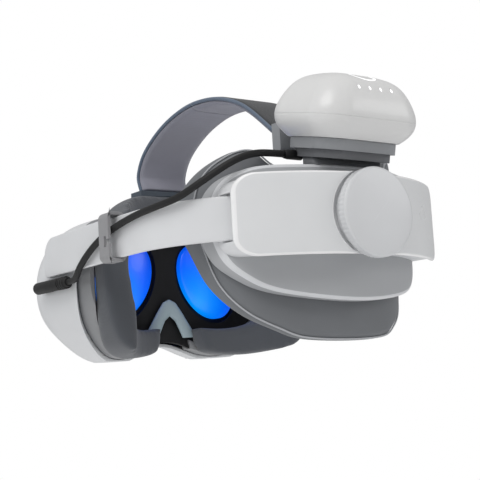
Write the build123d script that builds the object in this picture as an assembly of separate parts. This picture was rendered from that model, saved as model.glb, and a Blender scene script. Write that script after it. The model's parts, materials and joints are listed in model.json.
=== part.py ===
from build123d import *
import math
import os

# Head-worn display with a hard halo strap, a tightening dial and a lift-off battery.
# +X is the wearer's right, +Y is forward, +Z is up. Z = 0 is the surface it stands on.
# All sizes are millimetres.

# ---- display visor ----
VISOR_HALF_WIDTH = 93.5
VISOR_TOP = 106.0
VISOR_FRONT = 146.0
VISOR_REAR = 40.0
VISOR_MID_Z = 56.0
SHELL_WALL = 2.5
NOSE_NOTCH_HALF_WIDTH = 17.0
NOSE_NOTCH_TOP = 26.0
SHELL_SIDE_REAR = 61.0
SHELL_CENTRE_REAR = 108.0
INTERFACE_SIDE_REAR = 46.0
INTERFACE_CENTRE_REAR = 96.0
INTERFACE_INSET = 2.8
INTERFACE_WALL = 6.0
CUSHION_SIDE_REAR = 30.0
CUSHION_CENTRE_REAR = 78.0
CUSHION_HALF_WIDTH = 87.5
CUSHION_TOP = 120.0
CUSHION_THICKNESS = 20.0
FACE_HALF_WIDTH = 65.0
FLAP_Y = 94.4
FLAP_THICKNESS = 2.0
JOINT_LINE = 0.3
BUTTON_RADIUS = 5.0
BUTTON_CLEARANCE = 0.15
BUTTON_Y = 108.0
BUTTON_Z = 52.0
BUTTON_PROUD = 1.0
BUTTON_DEPTH = 4.0
ROCKER_LENGTH = 22.0
ROCKER_WIDTH = 5.0
ROCKER_CLEARANCE = 0.4
ROCKER_X = 40.0
ROCKER_Y = 118.0
CAMERA_RADIUS = 5.5
CAMERA_DEPTH = 8.0
CAMERA_X = 58.0
CAMERA_RISE = 26.0
PORT_HALF_LENGTH = 6.0
PORT_HALF_HEIGHT = 3.4
PORT_DEPTH = 9.0
PORT_PLUG_HALF_LENGTH = 4.2
PORT_PLUG_HALF_HEIGHT = 1.3
BOARD_Y = 122.0

# ---- optics ----
EYE_FRAME_REAR = 96.5
EYE_FRAME_THICKNESS = 3.0
EYE_SPACING = 72.0
EYE_Z = 58.0
EYE_OPENING_HALF_WIDTH = 25.0
EYE_OPENING_HALF_HEIGHT = 34.0
EYE_LEAN = 30.0
LENS_RADIUS = 24.0
LENS_EDGE = 3.0
LENS_BULGE = 4.0
LENS_SEAT_WALL = 2.0
OPTIC_GAP = 0.6
OPTIC_FLANGE_MARGIN = 4.0
OPTIC_FLANGE_THICKNESS = 3.0
BARREL_LENGTH = 14.0
DISPLAY_THICKNESS = 2.0

# ---- halo band ----
BAND_HALF_WIDTH = 102.2
BAND_REAR = -126.8
BAND_FRONT = 101.0
BAND_FRONT_HALF_WIDTH = 97.0
REAR_ARC_RADIUS = 107.9
REAR_ARC_HALF_ANGLE = 50.0
BAND_Z = 73.0
STRAP_HEIGHT = 26.0
STRAP_THICKNESS = 3.0
ARM_HEIGHT = 27.4
ARM_THICKNESS = 3.0
ARM_REAR = 0.0
STRAP_TAIL_ANGLE = 38.5
PIVOT_Y = 75.0
PIVOT_RADIUS = 5.0
PIVOT_CLEARANCE = 0.05
PIVOT_SEAT_DEPTH = 1.8

# ---- rear housing, dial and gear ----
HOUSING_HALF_WIDTH = 77.0
HOUSING_HEIGHT = 45.0
HOUSING_IN = -5.7
HOUSING_OUT = 6.3
CHANNEL_IN = -3.6
CHANNEL_OUT = 4.2
CHANNEL_HEIGHT = 28.4
PANEL_HALF_WIDTH = 79.0
PANEL_HEIGHT = 48.4
PANEL_THICKNESS = 2.8
PANEL_CORNER = 11.0
DIAL_RADIUS = 26.8
DIAL_THICKNESS = 7.4
DIAL_DOME = 1.0
DIAL_GAP = 0.6
DIAL_GRIPS = 60
SHAFT_RADIUS = 4.0
SHAFT_CLEARANCE = 0.05
GEAR_MODULE = 1.0
GEAR_TEETH = 16
GEAR_IN = 0.5
RACK_THICKNESS = 3.2
RACK_SPAN = 37.8
RACK_OVERLAP = 9.0
RACK_BACK = 3.8

# ---- rear cradle and head cushion ----
CRADLE_OUT = -5.9
CRADLE_THICKNESS = 10.0
NECK_HALF_WIDTH = 27.0
NECK_REAR = -121.0
NECK_FRONT = -104.5
NECK_LOW = 101.0
HEAD_CUSHION_OUT = -16.2
HEAD_CUSHION_THICKNESS = 12.0

# ---- battery and dock ----
DOCK_TILT = 13.0
DOCK_Y = -111.0
DOCK_Z = 109.5
DOCK_LENGTH = 63.0
DOCK_WIDTH = 80.0
DOCK_BASE_HEIGHT = 5.0
DOCK_RIM_HEIGHT = 6.5
TONGUE_HALF_WIDTH = 14.0
DOCK_RIM_INSET = 9.5
DOCK_BASE_INSET = 12.0
VENT_PLACES = [(-15, -8), (-5, -12), (5, -12), (15, -8)]
BATTERY_HEIGHT = 39.0
BATTERY_SPLIT = 13.0
BATTERY_WALL = 2.2
BATTERY_GAP = 0.2
CELL_RADIUS = 9.2
CELL_LENGTH = 50.0
CONTACT_COUNT = 4
CONTACT_SPACING = 5.0
CONTACT_RADIUS = 1.2
MAGNET_RADIUS = 5.0
MAGNET_THICKNESS = 2.4
MAGNET_X = 18.0
RING_Y = -12.0
RING_HALF_X = 8.0
RING_HALF_Y = 6.2
RING_WIDTH = 1.2
LED_RADIUS = 0.8
LED_SPACING = 8.5

# ---- top strap, clip and cable ----
TOP_STRAP_WIDTH = 42.0
TOP_STRAP_SKIN = 2.0
TOP_STRAP_PAD = 4.0
TOP_STRAP_ARCH = [(94, 124), (97, 137), (86, 153), (60, 167), (30, 174), (4, 174), (-20, 169), (-44, 158), (-72, 136)]
STRAP_BASE_REAR = 86.0
STRAP_BASE_FRONT = 101.0
CABLE_RADIUS = 2.15
PLUG_X = -98.6
PLUG_Z = 53.0
PLUG_REAR = 73.0
PLUG_FRONT = 108.0
PLUG_RADIUS = 4.2
PORT_Y = 101.0
CABLE_ROUTE = [
    (-36.0, -100.0, 112.6),
    (-45.0, -100.0, 112.6),
    (-56.0, -99.4, 112.0),
    (-66.0, -98.6, 109.2),
    (-75.0, -96.4, 104.6),
    (-83.2, -92.0, 98.8),
    (-90.4, -85.4, 93.0),
    (-96.5, -76.0, 87.2),
    (-101.5, -62.0, 84.6),
    (-104.6, -44.0, 82.6),
    (-105.0, -24.0, 80.0),
    (-104.8, -6.0, 76.8),
    (-104.7, 11.0, 71.6),
    (-104.7, 25.0, 65.0),
    (-103.6, 37.0, 58.6),
    (-100.8, 46.0, 54.4),
    (PLUG_X, 55.0, PLUG_Z),
    (PLUG_X, 62.0, PLUG_Z),
]
GLAND_RADIUS = 3.0
GLAND_LENGTH = 13.0
CLIP_Y = -8.0
CLIP_LENGTH = 12.0
CLIP_WALL = 2.2


def mirrored(points):
    """Half an outline, from its top centre down the +X side, closed with its mirror image."""
    return points + [(-x, z) for x, z in reversed(points) if abs(x) > 0.01]


def rear_arc_centre():
    return BAND_REAR + REAR_ARC_RADIUS


def side_arc():
    """Centre and radius of the +X side arc that runs tangent from the rear arc to the side of the band."""
    turn = math.sin(math.radians(REAR_ARC_HALF_ANGLE))
    radius = (BAND_HALF_WIDTH - REAR_ARC_RADIUS * turn) / (1 - turn)
    return BAND_HALF_WIDTH - radius, radius


def side_arc_y():
    """Y of the side arcs' centres, where the band is widest."""
    radius = side_arc()[1]
    half = math.radians(REAR_ARC_HALF_ANGLE)
    return rear_arc_centre() - (REAR_ARC_RADIUS - radius) * math.cos(half)


def on_rear_arc(offset, degrees):
    radius = REAR_ARC_RADIUS + offset
    angle = math.radians(degrees)
    return radius * math.sin(angle), rear_arc_centre() - radius * math.cos(angle)


def band_area(offset):
    """Plan area inside the band's outer face moved outwards by offset."""
    centre_x, radius = side_arc()
    radius += offset
    half = math.radians(REAR_ARC_HALF_ANGLE)
    rear_x, rear_y = on_rear_arc(offset, REAR_ARC_HALF_ANGLE)
    mid_turn = (math.pi / 2 + half) / 2
    side_y = side_arc_y()
    side_mid = (centre_x + radius * math.sin(mid_turn), side_y - radius * math.cos(mid_turn))
    side = (centre_x + radius, side_y)
    front = (BAND_FRONT_HALF_WIDTH + offset, BAND_FRONT)
    bow = (BAND_HALF_WIDTH - BAND_FRONT_HALF_WIDTH) / 4
    front_mid = ((side[0] + front[0]) / 2 + bow, (side_y + BAND_FRONT) / 2)

    def flip(point):
        return (-point[0], point[1])

    edges = [
        ThreePointArc(flip((rear_x, rear_y)), (0, BAND_REAR - offset), (rear_x, rear_y)),
        ThreePointArc((rear_x, rear_y), side_mid, side),
        ThreePointArc(side, front_mid, front),
        Line(front, flip(front)),
        ThreePointArc(flip(front), flip(front_mid), flip(side)),
        ThreePointArc(flip(side), flip(side_mid), flip((rear_x, rear_y))),
    ]
    return make_face(Wire(edges))


def band_layer(inner, outer, low, high):
    """Wall that follows the band between two offsets from its outer face."""
    outside = extrude(Pos(0, 0, low) * band_area(outer), high - low)
    inside = extrude(Pos(0, 0, low) * band_area(inner), high - low)
    return outside - inside


def prism_y(face, rear, front):
    """Extrude an outline drawn as (X, Z) from Y = rear to Y = front."""
    return extrude(Plane.XZ.offset(-front) * face, front - rear)


def prism_x(face, low, high):
    """Extrude an outline drawn as (Y, Z) from X = low to X = high."""
    return extrude(Plane.YZ.offset(low) * face, high - low)


def upright_box(x_range, y_range, z_range):
    size = [high - low for low, high in (x_range, y_range, z_range)]
    middle = [(high + low) / 2 for low, high in (x_range, y_range, z_range)]
    return Pos(*middle) * Box(*size)


def cylinder_y(x, z, radius, rear, front):
    return Pos(x, (rear + front) / 2, z) * Rot(90, 0, 0) * Cylinder(radius, front - rear)


def cylinder_x(y, z, radius, low, high):
    return Pos((low + high) / 2, y, z) * Rot(0, 90, 0) * Cylinder(radius, high - low)


def mirror_x(shape):
    return mirror(shape, about=Plane.YZ)


def spline_face(points):
    return make_face(Wire([Spline(points, periodic=True)]))


# ---- display visor ----

def visor_outline(inset):
    """Front view of the visor shell, drawn in from its outer face by inset."""
    top = VISOR_TOP - VISOR_MID_Z
    half = [
        (0.0, 1.0), (0.48, 0.975), (0.8, 0.76), (0.965, 0.33), (1.0, -0.06), (0.955, -0.48), (0.79, -0.86),
        (0.56, -1.13), (0.34, -1.13), (0.16, -1.0), (0.0, -0.93),
    ]
    scale_x = VISOR_HALF_WIDTH - inset
    scale_z = top - inset
    return [(x * scale_x, VISOR_MID_Z + z * scale_z) for x, z in mirrored(half)]


def visor_solid(inset, rear, front):
    """Visor body with a rounded front: equal outlines joined from the rear to the front face."""
    depth = front - VISOR_REAR
    stations = [(rear, 0.0)] + [(front - share * depth, 0.0) for share in (0.8, 0.6, 0.45, 0.33)]
    stations += [(front - share * depth, rounding) for share, rounding in ((0.17, 3.0), (0.06, 11.0), (0.0, 30.0))]
    wires = []
    for y, rounding in stations:
        points = visor_outline(inset + rounding)
        wires.append(Wire([Spline([(x, y, z) for x, z in points], periodic=True)]))
    return Solid.make_loft(wires)


def facing(side_half_width, side_y, centre_y, margin=0.0):
    """Upright cylinder whose front follows the face from one side, round the centre, to the other."""
    rise = centre_y - side_y
    radius = (side_half_width**2 + rise**2) / (2 * rise)
    round_front = Pos(0, centre_y - radius, VISOR_MID_Z) * Cylinder(radius + margin, 6 * VISOR_TOP)
    behind = upright_box((-200, 200), (-200, side_y + margin), (-200, 400))
    return round_front + behind


def shell_limit(margin=0.0):
    return facing(VISOR_HALF_WIDTH, SHELL_SIDE_REAR, SHELL_CENTRE_REAR, margin)


def interface_limit(margin=0.0):
    return facing(CUSHION_HALF_WIDTH, INTERFACE_SIDE_REAR, INTERFACE_CENTRE_REAR, margin)


def cushion_limit():
    return facing(FACE_HALF_WIDTH, CUSHION_SIDE_REAR, CUSHION_CENTRE_REAR)


def above_ground():
    return upright_box((-200, 200), (-200, 200), (0, 300))


def nose_gap(margin=0.0):
    """Opening for the nose at the bottom of the interface and cushion, as a prism along Y."""
    half = NOSE_NOTCH_HALF_WIDTH - margin
    top = NOSE_NOTCH_TOP + half
    outline = [(-1.35 * half, -5.0), (-half, 0.45 * NOSE_NOTCH_TOP), (-0.9 * half, NOSE_NOTCH_TOP), (0.0, top)]
    points = outline + [(-x, z) for x, z in reversed(outline[:-1])]
    return prism_y(make_face(Polyline(points, close=True)), 0, VISOR_FRONT)


def side_bore(side, y, z, radius, depth):
    """Cylinder along X that starts outside the visor's side and ends depth below it."""
    inner, outer = VISOR_HALF_WIDTH - depth, VISOR_HALF_WIDTH + 10
    low, high = (inner, outer) if side > 0 else (-outer, -inner)
    return cylinder_x(y, z, radius, low, high)


def camera_places():
    return [
        (side * CAMERA_X, VISOR_MID_Z + rise)
        for side in (-1, 1)
        for rise in (-CAMERA_RISE, CAMERA_RISE)
    ]


def port_box(half_length, half_height, depth):
    outer = -VISOR_HALF_WIDTH - 10
    return upright_box(
        (outer, -VISOR_HALF_WIDTH + depth),
        (PORT_Y - half_length, PORT_Y + half_length),
        (PLUG_Z - half_height, PLUG_Z + half_height),
    )


def rocker_box(margin, low, high):
    half_length = ROCKER_LENGTH / 2 + margin
    half_width = ROCKER_WIDTH / 2 + margin
    return upright_box(
        (ROCKER_X - half_length, ROCKER_X + half_length),
        (ROCKER_Y - half_width, ROCKER_Y + half_width),
        (low, high),
    )


def front_shell():
    shell = visor_solid(0, VISOR_REAR, VISOR_FRONT)
    shell -= visor_solid(SHELL_WALL, VISOR_REAR - 5, VISOR_FRONT - SHELL_WALL)
    shell = (shell - shell_limit()) & above_ground()
    for x, z in camera_places():
        shell -= cylinder_y(x, z, CAMERA_RADIUS, VISOR_FRONT - 30, VISOR_FRONT + 10)
    shell -= side_bore(1, BUTTON_Y, BUTTON_Z, BUTTON_RADIUS + BUTTON_CLEARANCE, 12)
    shell -= port_box(PORT_HALF_LENGTH, PORT_HALF_HEIGHT, 12)
    for side in (-1, 1):
        shell -= side_bore(side, PIVOT_Y, BAND_Z, PIVOT_RADIUS, 12)
    return shell - rocker_box(ROCKER_CLEARANCE, -5, 30)


def tracking_cameras():
    """Window and barrel of each tracking camera, flush with the front of the visor."""
    skin = visor_solid(0.4, VISOR_REAR, VISOR_FRONT)
    return Compound([
        (cylinder_y(x, z, CAMERA_RADIUS, VISOR_FRONT - CAMERA_DEPTH - 4, VISOR_FRONT) & skin).solid()
        for x, z in camera_places()
    ])


def power_button():
    low = VISOR_HALF_WIDTH - BUTTON_DEPTH
    return cylinder_x(BUTTON_Y, BUTTON_Z, BUTTON_RADIUS, low, VISOR_HALF_WIDTH + BUTTON_PROUD)


def volume_rocker():
    return rocker_box(0, 0.6, 6.5)


def usb_port():
    """Metal-lined socket whose mouth is just inside the visor's left side."""
    socket = port_box(PORT_HALF_LENGTH, PORT_HALF_HEIGHT, PORT_DEPTH)
    socket -= port_box(PORT_PLUG_HALF_LENGTH + 0.3, PORT_PLUG_HALF_HEIGHT + 0.3, PORT_DEPTH - 1.5)
    return socket & visor_solid(0.3, VISOR_REAR, VISOR_FRONT)


def ring_prism(outer, inner):
    """Ring between two insets of the visor's outline, along Y."""
    rim = prism_y(spline_face(visor_outline(outer)), 0, VISOR_FRONT)
    return rim - prism_y(spline_face(visor_outline(inner)), -1, VISOR_FRONT + 1)


def facial_interface():
    frame = ring_prism(INTERFACE_INSET, INTERFACE_INSET + INTERFACE_WALL)
    frame = (frame & shell_limit()) - interface_limit() - nose_gap()
    return frame & above_ground()


def cushion_outline(inset):
    half = [
        (0, CUSHION_TOP), (29, CUSHION_TOP - 1.5), (52, CUSHION_TOP - 10), (73, CUSHION_TOP - 26),
        (CUSHION_HALF_WIDTH - 1.5, 76), (CUSHION_HALF_WIDTH, 56), (84.5, 29), (76, 9.5), (60, 1.5), (42, 0.5),
        (24, 3.0), (0, 6.0),
    ]
    centre = (CUSHION_TOP + 0.5) / 2
    shrink_x = 1 - inset / CUSHION_HALF_WIDTH
    shrink_z = 1 - inset / centre
    return [(x * shrink_x, centre + (z - centre) * shrink_z) for x, z in mirrored(half)]


def face_cushion():
    rim = prism_y(spline_face(cushion_outline(0)), 0, VISOR_FRONT)
    rim -= prism_y(spline_face(cushion_outline(CUSHION_THICKNESS)), -1, VISOR_FRONT + 1)
    return ((rim & interface_limit(-JOINT_LINE)) - cushion_limit() - nose_gap(-1.0)) & above_ground()


def nose_flap():
    """Soft inverted V that closes the gap beside the nose."""
    outer = [(-22.5, 15), (-19, 21), (-11, 33.5), (-5.5, 42), (0, 44.5), (5.5, 42), (11, 33.5), (19, 21), (22.5, 15)]
    inner = [(6.5, 15), (3.0, 25), (0, 29.5), (-3.0, 25), (-6.5, 15)]
    face = make_face(Polyline(outer + inner, close=True))
    return prism_y(face, FLAP_Y, FLAP_Y + FLAP_THICKNESS)


def eye_opening(side, margin=0.0):
    """Leaning oval in front view that shows one lens, as a flat face."""
    oval = Ellipse(EYE_OPENING_HALF_WIDTH + margin, EYE_OPENING_HALF_HEIGHT + margin)
    return Pos(side * EYE_SPACING / 2, EYE_Z) * Rot(0, 0, side * EYE_LEAN) * oval


def eye_frame():
    """Black plate in front of the optics, with an oval opening for each eye."""
    rear, front = EYE_FRAME_REAR, EYE_FRAME_REAR + EYE_FRAME_THICKNESS
    inset = INTERFACE_INSET + INTERFACE_WALL + JOINT_LINE
    plate = prism_y(spline_face(visor_outline(inset)), rear, front)
    skirt = prism_y(spline_face(visor_outline(SHELL_WALL + JOINT_LINE)), rear, front)
    plate += skirt & nose_gap(JOINT_LINE)
    for side in (-1, 1):
        plate -= prism_y(eye_opening(side), rear - 1, front + 1)
    return plate


def optic_rear():
    return EYE_FRAME_REAR + EYE_FRAME_THICKNESS + OPTIC_GAP


def lens(side):
    """Lens with a domed rear face and a flat front, seated in its barrel."""
    rear = optic_rear() + 1.0
    x = side * EYE_SPACING / 2
    disc = cylinder_y(x, EYE_Z, LENS_RADIUS, rear, rear + LENS_EDGE + LENS_BULGE)
    ball_radius = (LENS_RADIUS**2 + LENS_BULGE**2) / (2 * LENS_BULGE)
    return disc & (Pos(x, rear + ball_radius, EYE_Z) * Sphere(ball_radius))


def lens_barrel(side):
    """Oval eye cup and tube that carry the lens and slide sideways together."""
    rear = optic_rear()
    x = side * EYE_SPACING / 2
    lens_rear = rear + 1.0
    body = prism_y(eye_opening(side, OPTIC_FLANGE_MARGIN), rear, rear + OPTIC_FLANGE_THICKNESS)
    body += cylinder_y(x, EYE_Z, LENS_RADIUS + LENS_SEAT_WALL, rear, rear + BARREL_LENGTH)
    body -= cylinder_y(x, EYE_Z, LENS_RADIUS - 1.0, rear - 1, rear + BARREL_LENGTH + 1)
    return body - cylinder_y(x, EYE_Z, LENS_RADIUS, rear - 1, lens_rear + LENS_EDGE + LENS_BULGE)


def display_panel(side):
    rear = optic_rear() + BARREL_LENGTH
    x = side * EYE_SPACING / 2
    half = LENS_RADIUS - 1
    return upright_box((x - half, x + half), (rear, rear + DISPLAY_THICKNESS), (EYE_Z - half, EYE_Z + half))


def main_board():
    half_width = EYE_SPACING / 2 + LENS_RADIUS
    return upright_box((-half_width, half_width), (BOARD_Y, BOARD_Y + 1.6), (EYE_Z - 26, EYE_Z + 24))


def cooling_fan():
    """Small blower on the front of the main board."""
    rear = BOARD_Y + 1.6
    case = cylinder_y(0, EYE_Z, 17, rear, rear + 6)
    return case - cylinder_y(0, EYE_Z, 10, rear + 1.5, rear + 7)


def pivot_pin(side):
    """Pin from the visor's side wall into the blind seat inside the arm."""
    low, high = VISOR_HALF_WIDTH - 6, arm_inner_face() + PIVOT_SEAT_DEPTH - 0.2
    pin = cylinder_x(PIVOT_Y, BAND_Z, PIVOT_RADIUS, low, high)
    return pin if side > 0 else mirror_x(pin)


def arm_inner_face():
    """X of the arm's inner face at the pivot."""
    run = (PIVOT_Y - side_arc_y()) / (BAND_FRONT - side_arc_y())
    return BAND_HALF_WIDTH - (BAND_HALF_WIDTH - BAND_FRONT_HALF_WIDTH) * run**2 - ARM_THICKNESS


# ---- halo band ----

def rounded_bar(start, end, height, corner):
    """Side-view outline (Y, Z) of a bar centred on the band, rounded at its front top corner."""
    face = Pos((start + end) / 2, BAND_Z) * Rectangle(end - start, height)
    front = face.vertices().sort_by(Axis.X)[-2:]
    top = max(front, key=lambda corner_point: corner_point.Y)
    low = min(front, key=lambda corner_point: corner_point.Y)
    face = fillet(top, corner)
    low = face.vertices().filter_by(lambda v: abs(v.X - low.X) + abs(v.Y - low.Y) < 0.01)
    return fillet(low, corner * 0.4)


def right_arm():
    layer = band_layer(-ARM_THICKNESS, 0, BAND_Z - ARM_HEIGHT, BAND_Z + ARM_HEIGHT)
    outline = rounded_bar(ARM_REAR, BAND_FRONT, ARM_HEIGHT, 15)
    arm = layer & prism_x(outline, 60, 130)
    seat = arm_inner_face() + PIVOT_SEAT_DEPTH
    return arm - cylinder_x(PIVOT_Y, BAND_Z, PIVOT_RADIUS + PIVOT_CLEARANCE, 80, seat)


def right_strap():
    """Flexible band from the arm into the rear housing."""
    layer = band_layer(-STRAP_THICKNESS, 0, BAND_Z - STRAP_HEIGHT / 2, BAND_Z + STRAP_HEIGHT / 2)
    reach = 260
    angle = math.radians(STRAP_TAIL_ANGLE)
    centre = (0, rear_arc_centre())
    tail = (reach * math.sin(angle), centre[1] - reach * math.cos(angle))
    area = make_face(Polyline([centre, tail, (reach, tail[1]), (reach, ARM_REAR), (0, ARM_REAR)], close=True))
    return layer & extrude(Pos(0, 0, 0) * area, 200)


# ---- rear housing, dial and gear ----

def half_width_prism(half_width, height, corner, rear=-200.0, front=-36.0):
    """Rounded rectangle in rear view, centred on the band, as a prism along Y."""
    outline = RectangleRounded(2 * half_width, height, corner)
    return prism_y(Pos(0, BAND_Z) * outline, rear, front)


def dial_rear():
    """Y of the seat that the dial turns on."""
    return BAND_REAR - HOUSING_OUT - PANEL_THICKNESS + 1.2


def rear_housing():
    """Curved box behind the head, open at both ends for the straps, with a round seat for the dial."""
    half = HOUSING_HEIGHT / 2
    shell = band_layer(HOUSING_IN, HOUSING_OUT, BAND_Z - half, BAND_Z + half)
    shell = shell & half_width_prism(HOUSING_HALF_WIDTH, HOUSING_HEIGHT, 9)
    seat_radius = DIAL_RADIUS - 2
    shell += cylinder_y(0, BAND_Z, seat_radius, dial_rear(), BAND_REAR - CHANNEL_OUT - 0.5)
    channel_half = CHANNEL_HEIGHT / 2
    shell -= band_layer(CHANNEL_IN, CHANNEL_OUT, BAND_Z - channel_half, BAND_Z + channel_half)
    return shell - cylinder_y(0, BAND_Z, SHAFT_RADIUS + SHAFT_CLEARANCE, dial_rear() - 1, BAND_REAR - 1)


def rear_panel():
    """Right-hand cover panel, cut round to clear the dial."""
    low = HOUSING_OUT + 0.1
    half = PANEL_HEIGHT / 2
    layer = band_layer(low, low + PANEL_THICKNESS, BAND_Z - half, BAND_Z + half)
    layer = layer & half_width_prism(PANEL_HALF_WIDTH, PANEL_HEIGHT, PANEL_CORNER)
    layer = layer & upright_box((JOINT_LINE, 200), (-200, 0), (0, 200))
    return layer - cylinder_y(0, BAND_Z, DIAL_RADIUS + DIAL_GAP, -200, -100)


def dial():
    """Turning knob with a slightly domed face and a fine grip round its edge."""
    seat = dial_rear() - 0.2
    face = seat - DIAL_THICKNESS
    knob = cylinder_y(0, BAND_Z, DIAL_RADIUS, face, seat)
    ball_radius = (DIAL_RADIUS**2 + DIAL_DOME**2) / (2 * DIAL_DOME)
    knob = knob & (Pos(0, face + ball_radius, BAND_Z) * Sphere(ball_radius))
    knob -= cylinder_y(0, BAND_Z, DIAL_RADIUS + 1, face - 1, face + 0.2) - cylinder_y(
        0, BAND_Z, DIAL_RADIUS - 0.8, face - 2, face + 1
    )
    for step in range(DIAL_GRIPS):
        angle = 2 * math.pi * step / DIAL_GRIPS
        x, z = DIAL_RADIUS * math.cos(angle), DIAL_RADIUS * math.sin(angle)
        knob -= cylinder_y(x, BAND_Z + z, 0.45, face + 2.2, seat + 1)
    return knob - cylinder_y(0, BAND_Z, SHAFT_RADIUS, dial_rear() - 2.2, seat + 1)


def pinion_outline():
    """Trapezoid teeth on the shaft's pinion, with a gap at the top and at the bottom."""
    pitch_radius = GEAR_MODULE * GEAR_TEETH / 2
    tip, root = pitch_radius + 0.85 * GEAR_MODULE, pitch_radius - 1.15 * GEAR_MODULE
    step = 360 / GEAR_TEETH
    points = []
    for tooth in range(GEAR_TEETH):
        middle = 90 + (tooth + 0.5) * step
        for radius, part in ((root, -0.34), (tip, -0.14), (tip, 0.14), (root, 0.34)):
            angle = math.radians(middle + part * step)
            points.append((radius * math.cos(angle), BAND_Z + radius * math.sin(angle)))
    return make_face(Polyline(points, close=True))


def dial_shaft():
    """Shaft and pinion in one piece, from under the dial into the strap channel."""
    gear_front = BAND_REAR - GEAR_IN
    gear_rear = gear_front - RACK_THICKNESS
    gear = prism_y(pinion_outline(), gear_rear, gear_front)
    return gear + cylinder_y(0, BAND_Z, SHAFT_RADIUS, dial_rear() - 2.2, gear_rear)


def strap_rack(side):
    """Curved toothed rack from one strap's tail over the pinion: above it on the left, below it on the right."""
    up = 1 if side < 0 else -1
    pitch_radius = GEAR_MODULE * GEAR_TEETH / 2
    root = BAND_Z + up * (pitch_radius + 1.2 * GEAR_MODULE)
    back = root + up * RACK_BACK
    low, high = min(root, back), max(root, back)
    inner, outer = GEAR_IN, GEAR_IN + RACK_THICKNESS
    bar = band_layer(inner, outer, low, high) & rear_sector(side, -RACK_OVERLAP, RACK_SPAN)
    middle_radius = REAR_ARC_RADIUS + (inner + outer) / 2
    step = math.degrees(math.pi * GEAR_MODULE / middle_radius)
    teeth = int((RACK_OVERLAP + 8) / step)
    tip_half, root_half = 0.14 * math.pi * GEAR_MODULE, 0.34 * math.pi * GEAR_MODULE
    tip = BAND_Z + up * (pitch_radius - 0.8 * GEAR_MODULE)
    outline = [(-root_half, root + up * 0.3), (-tip_half, tip), (tip_half, tip), (root_half, root + up * 0.3)]
    tooth = prism_y(make_face(Polyline(outline, close=True)), BAND_REAR - outer - 2, BAND_REAR + 3)
    tooth = tooth & band_layer(inner, outer, BAND_Z - 20, BAND_Z + 20)
    about = Pos(0, rear_arc_centre(), 0)
    first = -side * int((RACK_OVERLAP - 1) / step)
    for index in range(teeth):
        bar += about * Rot(0, 0, (first + side * index) * step) * about.inverse() * tooth
    return bar


def rear_sector(side, start, end):
    """Upright wedge about the rear arc's centre, between two angles measured from the rear towards one side."""
    reach = 300
    centre = (0, rear_arc_centre())
    rays = []
    for degrees in (start, end):
        angle = math.radians(degrees)
        rays.append((side * reach * math.sin(angle), centre[1] - reach * math.cos(angle)))
    return extrude(make_face(Polyline([centre, *rays], close=True)), 300)


# ---- rear cradle and head cushion ----

CRADLE_OUTLINE = [
    (0, 104), (36, 104), (56, 103.7), (66.5, 101), (73.5, 96), (77.7, 87), (79, 74), (77.8, 60), (73.5, 47),
    (64.5, 37), (55, 31), (41, 27), (20, 24), (0, 23),
]
HEAD_CUSHION_OUTLINE = [
    (0, 100), (28, 100), (43, 106), (52, 115), (61, 115.5), (71, 109), (76.5, 100), (78.8, 88), (78.8, 76), (77, 61),
    (71.5, 36), (60.7, 19), (45, 8), (30, 2), (0, -0.4),
]


def rear_layer(outline, inner, outer, front):
    layer = band_layer(inner, outer, 0, 130)
    return layer & prism_y(spline_face(mirrored(outline)), -200, front)


def cradle():
    """Hard curved plate between the rear housing and the head cushion, with a neck up to the dock."""
    plate = rear_layer(CRADLE_OUTLINE, CRADLE_OUT - CRADLE_THICKNESS, CRADLE_OUT, side_arc_y() - 5)
    neck = upright_box((-NECK_HALF_WIDTH, NECK_HALF_WIDTH), (NECK_REAR, NECK_FRONT), (NECK_LOW, 130))
    return plate + (neck - dock_frame() * (Pos(0, 0, 50) * Box(200, 200, 100)))


def head_cushion():
    """Soft pad for the back of the head."""
    return rear_layer(HEAD_CUSHION_OUTLINE, HEAD_CUSHION_OUT - HEAD_CUSHION_THICKNESS, HEAD_CUSHION_OUT, side_arc_y() - 5)


# ---- battery and dock ----

def dock_frame():
    """Placement of the dock's underside: its own Z is the way the battery lifts off."""
    return Pos(0, DOCK_Y, DOCK_Z) * Rot(DOCK_TILT, 0, 0)


def pebble_outline(z, half_x, half_y, corner):
    return Pos(0, 0, z) * RectangleRounded(2 * half_x, 2 * half_y, corner)


def pebble(inset, low, high):
    """Rounded battery body between two heights, drawn in from its outer face by inset."""
    half_x, half_y = DOCK_WIDTH / 2, DOCK_LENGTH / 2
    sections = [
        (0.0, 8.5, 7.0), (0.1, 4.0, 3.5), (0.33, 0.0, 0.0), (0.6, 3.2, 2.4), (0.82, 9.0, 7.5), (0.95, 16.5, 15.0),
        (1.0, 23.5, 22.0),
    ]
    base = DOCK_BASE_HEIGHT + DOCK_RIM_HEIGHT + BATTERY_GAP
    wires = []
    for share, narrow_x, narrow_y in sections:
        z = base + inset + share * (BATTERY_HEIGHT - 2 * inset)
        width, length = half_x - narrow_x - inset, half_y - narrow_y - inset
        wires.append(pebble_outline(z, width, length, 0.62 * min(width, length)).faces()[0].outer_wire())
    body = Solid.make_loft(wires)
    slab = Pos(0, 0, base + (low + high) / 2) * Box(200, 200, high - low)
    return body & slab


def battery_base():
    return DOCK_BASE_HEIGHT + DOCK_RIM_HEIGHT + BATTERY_GAP


def contact_places():
    return [(x - (CONTACT_COUNT - 1) / 2) * CONTACT_SPACING for x in range(CONTACT_COUNT)]


def upright_pins(radius, low, high):
    """One group of round pins in a row across the dock, in the dock's frame."""
    return [Pos(x, 0, (low + high) / 2) * Cylinder(radius, high - low) for x in contact_places()]


def battery_lower_shell():
    """Lower half of the battery case, open at the top."""
    shell = pebble(0, 0, BATTERY_SPLIT) - pebble(BATTERY_WALL, 0, BATTERY_HEIGHT)
    for pin in upright_pins(CONTACT_RADIUS, battery_base() - 1, battery_base() + 5):
        shell -= pin
    return shell


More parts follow.
